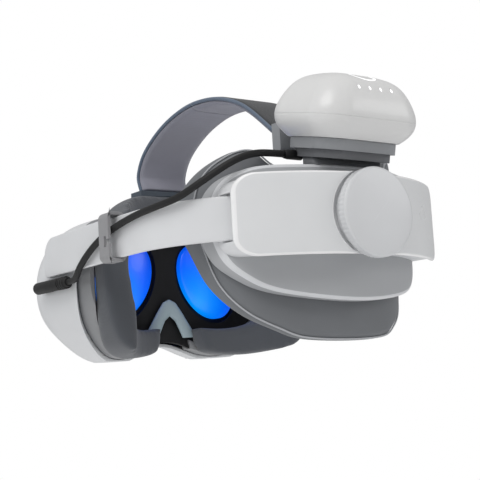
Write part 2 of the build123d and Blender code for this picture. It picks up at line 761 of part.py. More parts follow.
def battery_contacts():
    """Row of flat contact pads let into the battery's underside."""
    return Compound(upright_pins(CONTACT_RADIUS, battery_base(), battery_base() + BATTERY_WALL + 0.6))


def ring_column(half_x, half_y, low=0.0, high=80.0):
    """Oval column through the battery's top, in the dock's frame."""
    return extrude(Pos(0, RING_Y, low) * Ellipse(half_x, half_y), high - low)


def led_places():
    return [((index - 1.5) * LED_SPACING, RING_Y - 13.0) for index in range(4)]


def led_columns():
    return [Pos(x, y, battery_base() + BATTERY_HEIGHT / 2) * Cylinder(LED_RADIUS, BATTERY_HEIGHT) for x, y in led_places()]


def battery_skin():
    """Solid between the battery's outer face and the inside of its wall, over its top half."""
    return pebble(0.0, BATTERY_SPLIT, BATTERY_HEIGHT) - pebble(BATTERY_WALL, 0, BATTERY_HEIGHT)


def battery_upper_shell():
    """Domed upper half of the battery case, cut for its light ring, button and charge lights."""
    shell = battery_skin() - ring_column(RING_HALF_X + RING_WIDTH, RING_HALF_Y + RING_WIDTH)
    for column in led_columns():
        shell -= column
    return shell


def light_ring():
    """Oval light pipe round the battery's button."""
    ring = ring_column(RING_HALF_X + RING_WIDTH, RING_HALF_Y + RING_WIDTH) - ring_column(RING_HALF_X, RING_HALF_Y)
    return battery_skin() & ring


def charge_lights():
    skin = battery_skin()
    return Compound([(skin & column).solid() for column in led_columns()])


def battery_button():
    """Oval push button inside the light ring, level with the case."""
    core = ring_column(RING_HALF_X - BUTTON_CLEARANCE, RING_HALF_Y - BUTTON_CLEARANCE)
    return battery_skin() & core


def battery_cells():
    """Pair of round cells lying across the battery."""
    z = battery_base() + BATTERY_WALL + CELL_RADIUS + 1.5
    y_step = CELL_RADIUS + 0.5
    cells = [Pos(0, y, z) * Rot(0, 90, 0) * Cylinder(CELL_RADIUS, CELL_LENGTH) for y in (-y_step, y_step)]
    return Compound(cells)


def battery_board():
    z = battery_base() + BATTERY_WALL + 2 * CELL_RADIUS + 3.0
    return Pos(0, 0, z + 0.7) * Box(44, 34, 1.4)


def keeper_plates():
    """Steel plates inside the battery that the dock's magnets hold."""
    low = battery_base() + BATTERY_WALL
    return Compound([Pos(side * MAGNET_X, 0, low + 0.5) * Cylinder(MAGNET_RADIUS, 1.0) for side in (-1, 1)])


def dock_outline(inset, low, high):
    half_x, half_y = DOCK_WIDTH / 2 - inset, DOCK_LENGTH / 2 - inset
    face = Pos(0, 0, low) * RectangleRounded(2 * half_x, 2 * half_y, 0.62 * min(half_x, half_y))
    return extrude(face, high - low)


def dock_base():
    """Underside of the dock, with its vents, cable mouth and the block it stands on."""
    base = dock_outline(DOCK_BASE_INSET, 0, DOCK_BASE_HEIGHT)
    for x, y in VENT_PLACES:
        base -= Pos(x, y, 0) * Box(6, 2.2, 2.4)
    return base - dock_frame().inverse() * gland_seat()


def dock_rim():
    """Upper tray of the dock, with a low lip round the battery's foot."""
    tray = dock_outline(DOCK_RIM_INSET, DOCK_BASE_HEIGHT, DOCK_BASE_HEIGHT + DOCK_RIM_HEIGHT)
    floor = DOCK_BASE_HEIGHT + DOCK_RIM_HEIGHT
    for side in (-1, 1):
        tray -= Pos(side * MAGNET_X, 0, floor - MAGNET_THICKNESS / 2) * Cylinder(MAGNET_RADIUS, MAGNET_THICKNESS)
    for pin in upright_pins(CONTACT_RADIUS, DOCK_BASE_HEIGHT - 1, floor + 1):
        tray -= pin
    return tray - dock_frame().inverse() * gland_seat()


def dock_magnets():
    floor = DOCK_BASE_HEIGHT + DOCK_RIM_HEIGHT
    low = floor - MAGNET_THICKNESS / 2
    return Compound([Pos(side * MAGNET_X, 0, low) * Cylinder(MAGNET_RADIUS, MAGNET_THICKNESS) for side in (-1, 1)])


def dock_pins():
    """Sprung pins that meet the battery's contacts, drawn pressed down by the battery."""
    return Compound(upright_pins(CONTACT_RADIUS, DOCK_BASE_HEIGHT, battery_base()))


# ---- top strap ----


def arch_point(distance_below):
    """Points of the top strap's arch moved towards its inside by a distance."""
    moved = []
    for index, (y, z) in enumerate(TOP_STRAP_ARCH):
        before = TOP_STRAP_ARCH[max(index - 1, 0)]
        after = TOP_STRAP_ARCH[min(index + 1, len(TOP_STRAP_ARCH) - 1)]
        along_y, along_z = after[0] - before[0], after[1] - before[1]
        length = math.hypot(along_y, along_z)
        moved.append((y - along_z / length * distance_below, z + along_y / length * distance_below))
    return moved


def arch_band(near, far):
    """Strap layer between two depths below the arch."""
    outer, inner = arch_point(near), arch_point(far)
    wire = Wire([Spline(outer), Line(outer[-1], inner[-1]), Spline(inner[::-1]), Line(inner[0], outer[0])])
    return prism_x(make_face(wire), -TOP_STRAP_WIDTH / 2, TOP_STRAP_WIDTH / 2)


def top_strap():
    return arch_band(0, TOP_STRAP_SKIN)


def top_strap_pad():
    return arch_band(TOP_STRAP_SKIN, TOP_STRAP_SKIN + TOP_STRAP_PAD)


def strap_base():
    """Bracket on top of the visor that holds the front end of the top strap."""
    half = TOP_STRAP_WIDTH / 2 + 3
    block = upright_box((-half, half), (STRAP_BASE_REAR, STRAP_BASE_FRONT), (VISOR_TOP - 8, 124))
    block -= prism_y(spline_face(visor_outline(-0.2)), 0, 200)
    return block - prism_y(spline_face(cushion_outline(-JOINT_LINE)), 0, INTERFACE_CENTRE_REAR + JOINT_LINE)


def strap_anchor():
    """Bar in front of the battery that holds the top strap's rear end, on a tongue from the dock's rim."""
    half = TOP_STRAP_WIDTH / 2 + 2
    y, z = TOP_STRAP_ARCH[-1]
    block = upright_box((-half, half), (y - 9, y - 1), (z - 16, z + 2)) - dock_frame() * pebble_clearance()
    low = DOCK_BASE_HEIGHT + 0.5
    front = DOCK_LENGTH / 2
    tongue = upright_box((-TONGUE_HALF_WIDTH, TONGUE_HALF_WIDTH), (front - DOCK_RIM_INSET, front + 4), (low, low + 4.5))
    return block + dock_frame() * tongue


def pebble_clearance():
    """Space that the battery and the dock fill, with room for the battery to lift off."""
    return dock_outline(-0.4, -1, 120)


# ---- clip, cable and plug ----

def cable_clip():
    """Ring round the left strap that also holds the cable against it."""
    y_range = (CLIP_Y - CLIP_LENGTH / 2, CLIP_Y + CLIP_LENGTH / 2)
    inner_x = BAND_HALF_WIDTH - STRAP_THICKNESS - 0.4
    outer_x = BAND_HALF_WIDTH + 2 * CABLE_RADIUS + 0.9
    half_height = STRAP_HEIGHT / 2 + 0.5
    middle = -(inner_x + outer_x) / 2
    hole = Pos(middle, BAND_Z) * RectangleRounded(outer_x - inner_x, 2 * half_height, 0.6)
    rim = Pos(middle, BAND_Z) * RectangleRounded(
        outer_x - inner_x + 2 * CLIP_WALL, 2 * (half_height + CLIP_WALL), 2.0 + CLIP_WALL
    )
    ring = prism_y(rim, *y_range) - prism_y(hole, y_range[0] - 1, y_range[1] + 1)
    slot_x = (-outer_x - CLIP_WALL - 1, -outer_x + 1)
    ring -= upright_box(slot_x, (y_range[0] - 1, y_range[0] + 4), (BAND_Z - 4.2, BAND_Z - 1.6))
    return ring - upright_box(slot_x, (y_range[0] + 3, y_range[0] + 5.5), (BAND_Z - 6.2, BAND_Z + 0.4))


def route_vectors():
    return [Vector(*point) for point in CABLE_ROUTE]


def route_radii():
    """Bend radius at each inner point: as large as the two runs beside it allow."""
    points = route_vectors()
    radii = []
    for before, here, after in zip(points, points[1:], points[2:]):
        run_in, run_out = here - before, after - here
        half_turn = math.radians(run_in.get_angle(run_out)) / 2
        radii.append(0.45 * min(run_in.length, run_out.length) / math.tan(half_turn))
    return radii


def power_cable():
    path = FilletPolyline(*route_vectors(), radius=route_radii())
    start = route_vectors()[0]
    section = Plane(origin=start, z_dir=route_vectors()[1] - start) * Circle(CABLE_RADIUS)
    cable = sweep(section, path=path)
    print("cable length", round(path.length, 1), "volume ratio", cable.volume / (section.area * path.length))
    print("bend radii", [round(radius, 1) for radius in route_radii()])
    return cable


def gland_seat():
    """Round seat in the dock's left edge for the cable's strain relief."""
    x, y, z = CABLE_ROUTE[0]
    return cylinder_x(y, z, GLAND_RADIUS, x + 1.5, x + GLAND_LENGTH)


def cable_gland():
    x, y, z = CABLE_ROUTE[0]
    return cylinder_x(y, z, GLAND_RADIUS, x, x + GLAND_LENGTH)


def usb_plug():
    """Right-angle plug: its body lies along the visor's side and its tongue goes into the socket."""
    body = cylinder_y(PLUG_X, PLUG_Z, PLUG_RADIUS, PLUG_REAR, PLUG_FRONT)
    tongue = upright_box(
        (PLUG_X, -VISOR_HALF_WIDTH + PORT_DEPTH - 2.5),
        (PORT_Y - PORT_PLUG_HALF_LENGTH, PORT_Y + PORT_PLUG_HALF_LENGTH),
        (PLUG_Z - PORT_PLUG_HALF_HEIGHT, PLUG_Z + PORT_PLUG_HALF_HEIGHT),
    )
    return body + tongue


def plug_collar():
    """Ribbed strain relief between the cable and the plug."""
    rear = CABLE_ROUTE[-1][1]
    collar = cylinder_y(PLUG_X, PLUG_Z, 3.6, rear, PLUG_REAR)
    for step in range(3):
        y = rear + 2.6 + 2.9 * step
        collar += cylinder_y(PLUG_X, PLUG_Z, 4.6, y, y + 1.6)
    return collar


def all_parts():
    """Every piece of the headset, by name."""
    dock = dock_frame()
    parts = {
        "front_shell": front_shell(),
        "tracking_cameras": tracking_cameras(),
        "facial_interface": facial_interface(),
        "face_cushion": face_cushion(),
        "nose_flap": nose_flap(),
        "eye_frame": eye_frame(),
        "main_board": main_board(),
        "cooling_fan": cooling_fan(),
        "usb_port": usb_port(),
        "power_button": power_button(),
        "volume_rocker": volume_rocker(),
        "strap_base": strap_base(),
        "rear_housing": rear_housing(),
        "right_panel": rear_panel(),
        "left_panel": mirror_x(rear_panel()),
        "dial": dial(),
        "dial_shaft": dial_shaft(),
        "left_rack": strap_rack(-1),
        "right_rack": strap_rack(1),
        "cradle": cradle(),
        "head_cushion": head_cushion(),
        "strap_anchor": strap_anchor(),
        "top_strap": top_strap(),
        "top_strap_pad": top_strap_pad(),
        "cable_clip": cable_clip(),
        "cable_gland": cable_gland(),
        "power_cable": power_cable(),
        "plug_collar": plug_collar(),
        "usb_plug": usb_plug(),
    }
    for name, side in (("left", -1), ("right", 1)):
        parts[name + "_lens"] = lens(side)
        parts[name + "_lens_barrel"] = lens_barrel(side)
        parts[name + "_display"] = display_panel(side)
        parts[name + "_pivot_pin"] = pivot_pin(side)
    parts["right_arm"] = right_arm()
    parts["left_arm"] = mirror_x(parts["right_arm"])
    parts["right_strap"] = right_strap()
    parts["left_strap"] = mirror_x(parts["right_strap"])
    docked = (
        battery_lower_shell, battery_upper_shell, battery_contacts, battery_cells, battery_board, keeper_plates,
        light_ring, charge_lights, battery_button, dock_base, dock_rim, dock_magnets, dock_pins,
    )
    for make in docked:
        parts[make.__name__] = dock * make()
    return parts


def main():
    os.makedirs("parts", exist_ok=True)
    for name, shape in all_parts().items():
        export_step(shape, f"parts/{name}.step")


if __name__ == "__main__":
    main()
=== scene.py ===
"""Looks of a head-worn display with a hard halo strap, a tightening dial and a lift-off battery."""

import json
import logging
import math
from dataclasses import dataclass, field
from enum import Enum
from typing import Callable, Optional, Sequence

import bpy
import bmesh
import numpy as np
from mathutils import Matrix, Vector
from mathutils.geometry import delaunay_2d_cdt

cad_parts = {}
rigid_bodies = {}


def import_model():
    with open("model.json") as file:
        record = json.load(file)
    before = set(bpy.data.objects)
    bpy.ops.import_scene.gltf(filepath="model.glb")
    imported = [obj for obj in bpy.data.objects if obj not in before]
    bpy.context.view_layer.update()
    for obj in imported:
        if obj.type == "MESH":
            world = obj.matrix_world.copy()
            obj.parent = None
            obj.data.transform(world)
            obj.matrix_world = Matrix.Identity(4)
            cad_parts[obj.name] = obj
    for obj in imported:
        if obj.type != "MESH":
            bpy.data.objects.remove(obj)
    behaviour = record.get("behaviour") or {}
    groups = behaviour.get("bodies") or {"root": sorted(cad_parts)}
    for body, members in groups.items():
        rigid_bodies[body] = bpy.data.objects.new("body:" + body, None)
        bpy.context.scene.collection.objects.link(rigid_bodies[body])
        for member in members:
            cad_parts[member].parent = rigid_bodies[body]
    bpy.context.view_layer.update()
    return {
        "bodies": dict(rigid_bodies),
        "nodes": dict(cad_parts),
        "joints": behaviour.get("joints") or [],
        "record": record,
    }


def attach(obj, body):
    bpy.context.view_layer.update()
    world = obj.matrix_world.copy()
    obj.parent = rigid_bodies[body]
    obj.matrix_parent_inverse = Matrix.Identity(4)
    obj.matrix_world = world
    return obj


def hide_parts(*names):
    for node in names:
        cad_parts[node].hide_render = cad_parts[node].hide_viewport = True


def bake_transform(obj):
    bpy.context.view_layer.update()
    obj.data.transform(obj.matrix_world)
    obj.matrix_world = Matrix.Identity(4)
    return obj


LOG = logging.getLogger("headset")
MM = 0.001
FACE_SPACING = 3.0  # millimetres between the points inside a plate's face
ARC_SAMPLES = 179  # samples each side of the middle that lie behind the head
Point = tuple[float, float]
Point3 = tuple[float, float, float]
Feed = bpy.types.NodeSocket | float


class Body(str, Enum):
    """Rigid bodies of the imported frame."""

    VISOR = "visor"
    SIDES = "side_straps"
    REAR = "rear"
    DIAL = "dial"
    BATTERY = "battery"
    LEFT_OPTIC = "left_optic"
    RIGHT_OPTIC = "right_optic"


class Along(Enum):
    """Axis that a plate's outline is drawn against: across the head or front to back."""

    ACROSS = 0
    LENGTHWISE = 1


# ---- shader groups ----


@dataclass
class GroupMaker:
    """Builds one shader node group with typed inputs and outputs."""

    name: str
    tree: bpy.types.NodeTree = field(init=False)
    entry: bpy.types.Node = field(init=False)
    exit: bpy.types.Node = field(init=False)

    def __post_init__(self) -> None:
        """Make the empty group."""
        self.tree = bpy.data.node_groups.new(self.name, "ShaderNodeTree")
        self.entry = self.tree.nodes.new("NodeGroupInput")
        self.exit = self.tree.nodes.new("NodeGroupOutput")

    def socket(self, name: str, kind: str, into: bool) -> None:
        """Add one socket.

        Args:
            name: the socket's name.
            kind: Float, Color or Vector.
            into: True for an input.
        """
        side = "INPUT" if into else "OUTPUT"
        self.tree.interface.new_socket(name=name, in_out=side, socket_type="NodeSocket" + kind)

    def feed(self, target: bpy.types.NodeSocket, value: Feed) -> None:
        """Link a socket into another, or set the other to a constant."""
        if isinstance(value, bpy.types.NodeSocket):
            self.tree.links.new(value, target)
        else:
            target.default_value = value

    def node(self, kind: str, feeds: dict[int | str, Feed], **values: object) -> bpy.types.Node:
        """Add a node inside the group.

        Args:
            kind: the node's type name without its ShaderNode prefix.
            feeds: a socket or a constant for each input that is used.
            values: attributes to set on it.

        Returns:
            The new node.
        """
        made = self.tree.nodes.new("ShaderNode" + kind)
        for key, value in values.items():
            setattr(made, key, value)
        for key, value in feeds.items():
            self.feed(made.inputs[key], value)
        return made

    def finish(self, share: bpy.types.NodeSocket, height: bpy.types.NodeSocket) -> bpy.types.NodeTree:
        """Scale the colour by a share, give out the height and return the group."""
        tint = self.node("VectorMath", {0: self.entry.outputs["Colour"], "Scale": share}, operation="SCALE")
        self.feed(self.exit.inputs["Colour"], tint.outputs["Vector"])
        self.feed(self.exit.inputs["Height"], height)
        return self.tree


def moulded_group() -> bpy.types.NodeTree:
    """Group for moulded plastic and rubber: cloudy tone, fine pitted grain and lighter convex edges, a painted edge
    highlight.
    """
    made = GroupMaker("moulded_surface")
    made.socket("Colour", "Color", True)
    for name in ("Grain Scale", "Tone", "Roughness", "Edge Highlight"):
        made.socket(name, "Float", True)
    made.socket("Colour", "Color", False)
    made.socket("Roughness", "Float", False)
    made.socket("Height", "Float", False)
    entry = made.entry.outputs
    place = made.node("TexCoord", {}).outputs["Object"]
    cloud = made.node("TexNoise", {"Vector": place, "Scale": 34.0, "Detail": 4.0})
    grain = made.node("TexNoise", {"Vector": place, "Scale": entry["Grain Scale"], "Detail": 2.0})
    centred = made.node("Math", {0: cloud.outputs["Fac"], 1: 0.5}, operation="SUBTRACT").outputs[0]
    swing = made.node("Math", {0: centred, 1: entry["Tone"], 2: 1.0}, operation="MULTIPLY_ADD").outputs[0]
    # Convex edges, found by pointiness, are painted lighter: a painted edge highlight.
    convexity = made.node("NewGeometry", {}).outputs["Pointiness"]
    rim = made.node("MapRange", {"Value": convexity, "From Min": 0.52, "From Max": 0.62}).outputs["Result"]
    share = made.node("Math", {0: rim, 1: entry["Edge Highlight"], 2: swing}, operation="MULTIPLY_ADD").outputs[0]
    rough = made.node(
        "Math", {0: centred, 1: 0.18, 2: entry["Roughness"]}, operation="MULTIPLY_ADD", use_clamp=True
    )
    made.feed(made.exit.inputs["Roughness"], rough.outputs[0])
    return made.finish(share, grain.outputs["Fac"])


def woven_group() -> bpy.types.NodeTree:
    """Group for knit and webbing: crossing ribs, thread fuzz and a soft mottled tone."""
    made = GroupMaker("woven_surface")
    made.socket("Colour", "Color", True)
    for name in ("Rib Scale", "Contrast"):
        made.socket(name, "Float", True)
    made.socket("Colour", "Color", False)
    made.socket("Height", "Float", False)
    entry = made.entry.outputs
    place = made.node("TexCoord", {}).outputs["Object"]
    across, upward = (
        made.node(
            "TexWave", {"Vector": place, "Scale": entry["Rib Scale"], "Distortion": 0.6, "Detail": 1.0},
            bands_direction=direction,
        ).outputs["Fac"]
        for direction in ("X", "Z")
    )
    cross = made.node("Math", {0: across, 1: upward}, operation="MAXIMUM").outputs[0]
    fuzz = made.node("TexNoise", {"Vector": place, "Scale": 700.0}).outputs["Fac"]
    height = made.node("Math", {0: fuzz, 1: 0.35, 2: cross}, operation="MULTIPLY_ADD")
    mottle = made.node("TexNoise", {"Vector": place, "Scale": 60.0}).outputs["Fac"]
    tone = made.node("Math", {0: mottle, 1: cross}, operation="ADD").outputs[0]
    centred = made.node("Math", {0: tone, 1: 1.2}, operation="SUBTRACT").outputs[0]
    share = made.node("Math", {0: centred, 1: entry["Contrast"], 2: 1.0}, operation="MULTIPLY_ADD")
    return made.finish(share.outputs[0], height.outputs[0])


def hide_group() -> bpy.types.NodeTree:
    """Group for soft synthetic leather: small irregular cells with shallow creases."""
    made = GroupMaker("hide_surface")
    made.socket("Colour", "Color", True)
    made.socket("Cell Scale", "Float", True)
    made.socket("Colour", "Color", False)
    made.socket("Height", "Float", False)
    place = made.node("TexCoord", {}).outputs["Object"]
    scale = made.entry.outputs["Cell Scale"]
    cells = made.node("TexVoronoi", {"Vector": place, "Scale": scale}, feature="DISTANCE_TO_EDGE")
    crease = made.node("MapRange", {"Value": cells.outputs["Distance"], "From Max": 0.18})
    mottle = made.node("TexNoise", {"Vector": place, "Scale": 40.0}).outputs["Fac"]
    share = made.node("MapRange", {"Value": mottle, "To Min": 0.9, "To Max": 1.1})
    return made.finish(share.outputs["Result"], crease.outputs["Result"])


# ---- finishes ----


@dataclass(frozen=True)
class Moulded:
    """A moulded plastic, rubber or metal finish."""

    name: str
    colour: Point3
    roughness: float = 0.45
    grain: float = 1500.0
    depth: float = 0.05
    tone: float = 0.08
    # edge: how much lighter convex edges are painted, a painted highlight
    edge: float = 0.06
    coat: float = 0.0
    metal: float = 0.0

    def material(self, kit: "Finishes") -> bpy.types.Material:
        """Make the finish's material.

        Args:
            kit: the shared shader groups.

        Returns:
            The new material.
        """
        made, shader = kit.blank(self.name)
        group = kit.place(made, kit.moulded)
        group.inputs["Colour"].default_value = (*self.colour, 1.0)
        group.inputs["Grain Scale"].default_value = self.grain
        group.inputs["Tone"].default_value = self.tone
        group.inputs["Roughness"].default_value = self.roughness
        group.inputs["Edge Highlight"].default_value = self.edge
        shader.inputs["Metallic"].default_value = self.metal
        shader.inputs["Coat Weight"].default_value = self.coat
        shader.inputs["Coat Roughness"].default_value = 0.12
        kit.join(made, group.outputs["Colour"], shader.inputs["Base Color"])
        kit.join(made, group.outputs["Roughness"], shader.inputs["Roughness"])
        kit.relief(made, group.outputs["Height"], shader, self.depth, 0.00012)
        return made


@dataclass(frozen=True)
class Woven:
    """A knitted or woven fabric finish."""

    name: str
    colour: Point3
    rib: float = 420.0
    contrast: float = 0.16
    sheen: float = 0.25

    def material(self, kit: "Finishes") -> bpy.types.Material:
        """Make the finish's material.

        Args:
            kit: the shared shader groups.

        Returns:
            The new material.
        """
        made, shader = kit.blank(self.name)
        group = kit.place(made, kit.woven)
        group.inputs["Colour"].default_value = (*self.colour, 1.0)
        group.inputs["Rib Scale"].default_value = self.rib
        group.inputs["Contrast"].default_value = self.contrast
        shader.inputs["Roughness"].default_value = 0.85
        shader.inputs["Sheen Weight"].default_value = self.sheen
        shader.inputs["Sheen Roughness"].default_value = 0.5
        kit.join(made, group.outputs["Colour"], shader.inputs["Base Color"])
        kit.relief(made, group.outputs["Height"], shader, 0.35, 0.0002)
        return made


@dataclass(frozen=True)
class Hide:
    """A soft coated cover finish."""

    name: str
    colour: Point3
    cells: float = 900.0
    roughness: float = 0.55

    def material(self, kit: "Finishes") -> bpy.types.Material:
        """Make the finish's material.

        Args:
            kit: the shared shader groups.

        Returns:
            The new material.
        """
        made, shader = kit.blank(self.name)
        group = kit.place(made, kit.hide)
        group.inputs["Colour"].default_value = (*self.colour, 1.0)
        group.inputs["Cell Scale"].default_value = self.cells
        shader.inputs["Roughness"].default_value = self.roughness
        kit.join(made, group.outputs["Colour"], shader.inputs["Base Color"])
        kit.relief(made, group.outputs["Height"], shader, 0.12, 0.00012)
        return made


@dataclass(frozen=True)
class Glow:
    """A glowing surface whose light fades from a bright spot to its rim; on the eye lenses the glow is painted."""

    name: str
    near: Point3
    middle: Point3
    far: Point3
    centre: Point3
    reach: float
    strength: float
    stretch: Point3 = (1.0, 1.0, 1.0)

    def material(self, kit: "Finishes") -> bpy.types.Material:
        """Make the finish's material.

        Args:
            kit: the shared shader groups.

        Returns:
            The new material.
        """
        made, shader = kit.blank(self.name)
        nodes = made.node_tree.nodes
        place = nodes.new("ShaderNodeTexCoord")
        offset = nodes.new("ShaderNodeVectorMath")
        offset.operation = "SUBTRACT"
        offset.inputs[1].default_value = self.centre
        stretch = nodes.new("ShaderNodeVectorMath")
        stretch.operation = "MULTIPLY"
        stretch.inputs[1].default_value = self.stretch
        length = nodes.new("ShaderNodeVectorMath")
        length.operation = "LENGTH"
        share = nodes.new("ShaderNodeMapRange")
        share.inputs["From Max"].default_value = self.reach
        ramp = nodes.new("ShaderNodeValToRGB")
        ramp.color_ramp.elements[0].color = (*self.near, 1.0)
        ramp.color_ramp.elements[1].color = (*self.far, 1.0)
        ramp.color_ramp.elements.new(0.5).color = (*self.middle, 1.0)
        kit.join(made, place.outputs["Object"], offset.inputs[0])
        kit.join(made, offset.outputs["Vector"], stretch.inputs[0])
        kit.join(made, stretch.outputs["Vector"], length.inputs[0])
        kit.join(made, length.outputs["Value"], share.inputs["Value"])
        kit.join(made, share.outputs["Result"], ramp.inputs["Fac"])
        kit.join(made, ramp.outputs["Color"], shader.inputs["Emission Color"])
        shader.inputs["Emission Strength"].default_value = self.strength
        shader.inputs["Base Color"].default_value = (*(0.4 * part for part in self.far), 1.0)
        shader.inputs["Roughness"].default_value = 0.3
        shader.inputs["Coat Weight"].default_value = 0.15
        return made


Finish = Moulded | Woven | Hide | Glow


class Finishes:
    """Shared shader groups and the materials made from them, each made once."""

    def __init__(self) -> None:
        """Build the groups."""
        self.moulded = moulded_group()
        self.woven = woven_group()
        self.hide = hide_group()
        self.made: dict[str, bpy.types.Material] = {}

    def get(self, finish: Finish) -> bpy.types.Material:
        """Return the finish's material, made at its first use."""
        if finish.name not in self.made:
            self.made[finish.name] = finish.material(self)
        return self.made[finish.name]

    def blank(self, name: str) -> tuple[bpy.types.Material, bpy.types.Node]:
        """Make a material with a single surface shader.

        Args:
            name: the material's name.

        Returns:
            The material and its shader node.
        """
        made = bpy.data.materials.new(name)
        made.use_nodes = True
        return made, made.node_tree.nodes["Principled BSDF"]

    def place(self, made: bpy.types.Material, tree: bpy.types.NodeTree) -> bpy.types.Node:
        """Place a shared group in a material and return its node."""
        group = made.node_tree.nodes.new("ShaderNodeGroup")
        group.node_tree = tree
        return group

    def join(self, made: bpy.types.Material, source: bpy.types.NodeSocket, target: bpy.types.NodeSocket) -> None:
        """Join two sockets of a material."""
        made.node_tree.links.new(source, target)

    def relief(
        self, made: bpy.types.Material, height: bpy.types.NodeSocket, shader: bpy.types.Node, strength: float,
        distance: float,
    ) -> None:
        """Raise a surface by a height.

        Args:
            made: the material.
            height: socket that gives the height.
            shader: the surface shader.
            strength: how strong the relief is.
            distance: its depth in metres.
        """
        bump = made.node_tree.nodes.new("ShaderNodeBump")
        bump.inputs["Strength"].default_value = strength
        bump.inputs["Distance"].default_value = distance
        self.join(made, height, bump.inputs["Height"])
        self.join(made, bump.outputs["Normal"], shader.inputs["Normal"])


SHELL = Moulded("shell_white", (0.74, 0.75, 0.765), 0.42, coat=0.08)
PANEL = Moulded("panel_white", (0.78, 0.79, 0.80), 0.30, depth=0.02, coat=0.3)
# panel rim: a lighter copy of the panel white, a painted highlight on the bevel
PANEL_RIM_HIGHLIGHT = Moulded("panel_rim_highlight", (0.95, 0.95, 0.955), 0.25, depth=0.02, coat=0.3)
DIAL_FACE = Moulded("dial_white", (0.70, 0.71, 0.725), 0.36, depth=0.03, coat=0.15)
BAND = Moulded("band_white", (0.76, 0.77, 0.785), 0.5, depth=0.04)
BATTERY = Moulded("battery_white", (0.76, 0.76, 0.755), 0.34, grain=2200.0, depth=0.04, coat=0.15)
DOCK_RIM = Moulded("dock_grey", (0.30, 0.31, 0.325), 0.5)
# darker copy of the dock grey for its underside and the neck below it: painted shade
DOCK_SHADE = Moulded("dock_dark", (0.145, 0.15, 0.16), 0.55)
CRADLE = Moulded("cradle_grey", (0.43, 0.44, 0.455), 0.5)
# cradle rim: a much lighter grey on the cradle's edge, a painted highlight
CRADLE_RIM_HIGHLIGHT = Moulded("cradle_rim_highlight", (0.72, 0.73, 0.75), 0.4)
HEAD_PAD = Hide("head_pad_cover", (0.17, 0.178, 0.19), 1000.0, 0.5)
# lighter piping round the head pad's rim: a painted highlight
HEAD_PAD_HIGHLIGHT = Moulded("head_pad_highlight_piping", (0.45, 0.46, 0.48), 0.5, 1200.0, 0.1)
FACE_FOAM = Woven("face_foam_cover", (0.085, 0.092, 0.105), 520.0, 0.12)
INTERFACE = Moulded("interface_grey", (0.28, 0.285, 0.295), 0.5)
OPTIC_BLACK = Moulded("optic_black", (0.004, 0.004, 0.005), 0.75, tone=0.2)
NOSE = Moulded("nose_rubber", (0.40, 0.50, 0.55), 0.45, 900.0, 0.05)
WEBBING = Woven("strap_webbing", (0.03, 0.032, 0.036), 650.0, 0.3)
KNIT = Woven("strap_knit", (0.30, 0.30, 0.355), 480.0, 0.12, 0.35)
BINDING = Woven("strap_binding", (0.13, 0.17, 0.235), 900.0, 0.15)
SLATE = Moulded("slate_bracket", (0.07, 0.09, 0.115), 0.6)
CLIP = Moulded("clip_grey", (0.30, 0.30, 0.31), 0.4)
JACKET = Moulded("cable_jacket", (0.003, 0.003, 0.0035), 0.6, 2400.0, 0.08, 0.0)
STEEL = Moulded("bare_steel", (0.6, 0.6, 0.6), 0.28, metal=1.0)
CONTACT = Moulded("plated_contact", (0.8, 0.62, 0.3), 0.25, metal=1.0)
BOARD = Moulded("circuit_board", (0.015, 0.12, 0.06), 0.4)
CELL = Moulded("cell_wrap", (0.03, 0.16, 0.36), 0.35)
NYLON = Moulded("natural_nylon", (0.62, 0.62, 0.58), 0.5)
CAMERA_WINDOW = Moulded("camera_window", (0.012, 0.012, 0.016), 0.08, depth=0.0, coat=0.8)


def painted_eye_glow(name: str, centre: Point3) -> Glow:
    """Painted glow of one eye cup's lens, brightest round a painted bright spot at a point in metres."""
    return Glow(name, (0.0, 0.33, 1.0), (0.0, 0.12, 0.95), (0.0, 0.03, 0.5), centre, 0.052, 0.95, (1.0, 0.6, 0.8))


RING_LIGHT = Glow("ring_light", (1.0, 1.0, 1.0), (0.98, 0.99, 1.0), (0.95, 0.98, 1.0), (0, 0, 0), 1.0, 1.3)


# ---- geometry ----


def solid(name: str, points: Sequence[Sequence[float]], faces: Sequence[Sequence[int]]) -> bpy.types.Object:
    """Make a smooth-shaded piece from points in millimetres.

    Args:
        name: the piece's name.
        points: vertices in millimetres.
        faces: vertex numbers of each face.

    Returns:
        The new object, with its faces turned outwards.
    """
    mesh = bpy.data.meshes.new(name)
    mesh.from_pydata([[MM * value for value in point] for point in points], [], faces)
    shaped = bmesh.new()
    shaped.from_mesh(mesh)
    bmesh.ops.triangulate(shaped, faces=[face for face in shaped.faces if len(face.verts) > 4])
    bmesh.ops.recalc_face_normals(shaped, faces=shaped.faces)
    shaped.to_mesh(mesh)
    shaped.free()
    mesh.shade_smooth()
    made = bpy.data.objects.new(name, mesh)
    bpy.context.scene.collection.objects.link(made)
    return made


def rings_solid(
    name: str, rings: Sequence[Sequence[Point3]], lids: Sequence[Optional[tuple[list, list]]] = (None, None)
) -> bpy.types.Object:
    """Join equal rings of points into one closed solid.

    Args:
        name: the piece's name.
        rings: rings of points in millimetres.
        lids: extra points and triangles that close the first and last ring, or None for plain strips.

    Returns:
        The new object.
    """
    count = len(rings[0])
    points = [point for ring in rings for point in ring]
    faces = []
    for row in range(len(rings) - 1):
        for step in range(count):
            following = (step + 1) % count
            here, above = row * count, (row + 1) * count
            faces.append((here + step, here + following, above + following, above + step))
    for start, lid in zip((0, (len(rings) - 1) * count), lids):
        if lid is not None:
            base = len(points) - count
            points += lid[0]
            faces += [tuple(start + item if item < count else base + item for item in face) for face in lid[1]]
            continue
        ring = points[start:start + count]
        axis = max(range(3), key=lambda item: max(point[item] for point in ring) - min(point[item] for point in ring))
        low = min(range(count), key=lambda step: ring[step][axis])
        for step in range((count + 1) // 2):
            corners = [low + step, low + step + 1, low - step - 1, low - step]
            unique = list(dict.fromkeys(start + corner % count for corner in corners))
            if len(unique) > 2:
                faces.append(tuple(unique))
    return solid(name, points, faces)


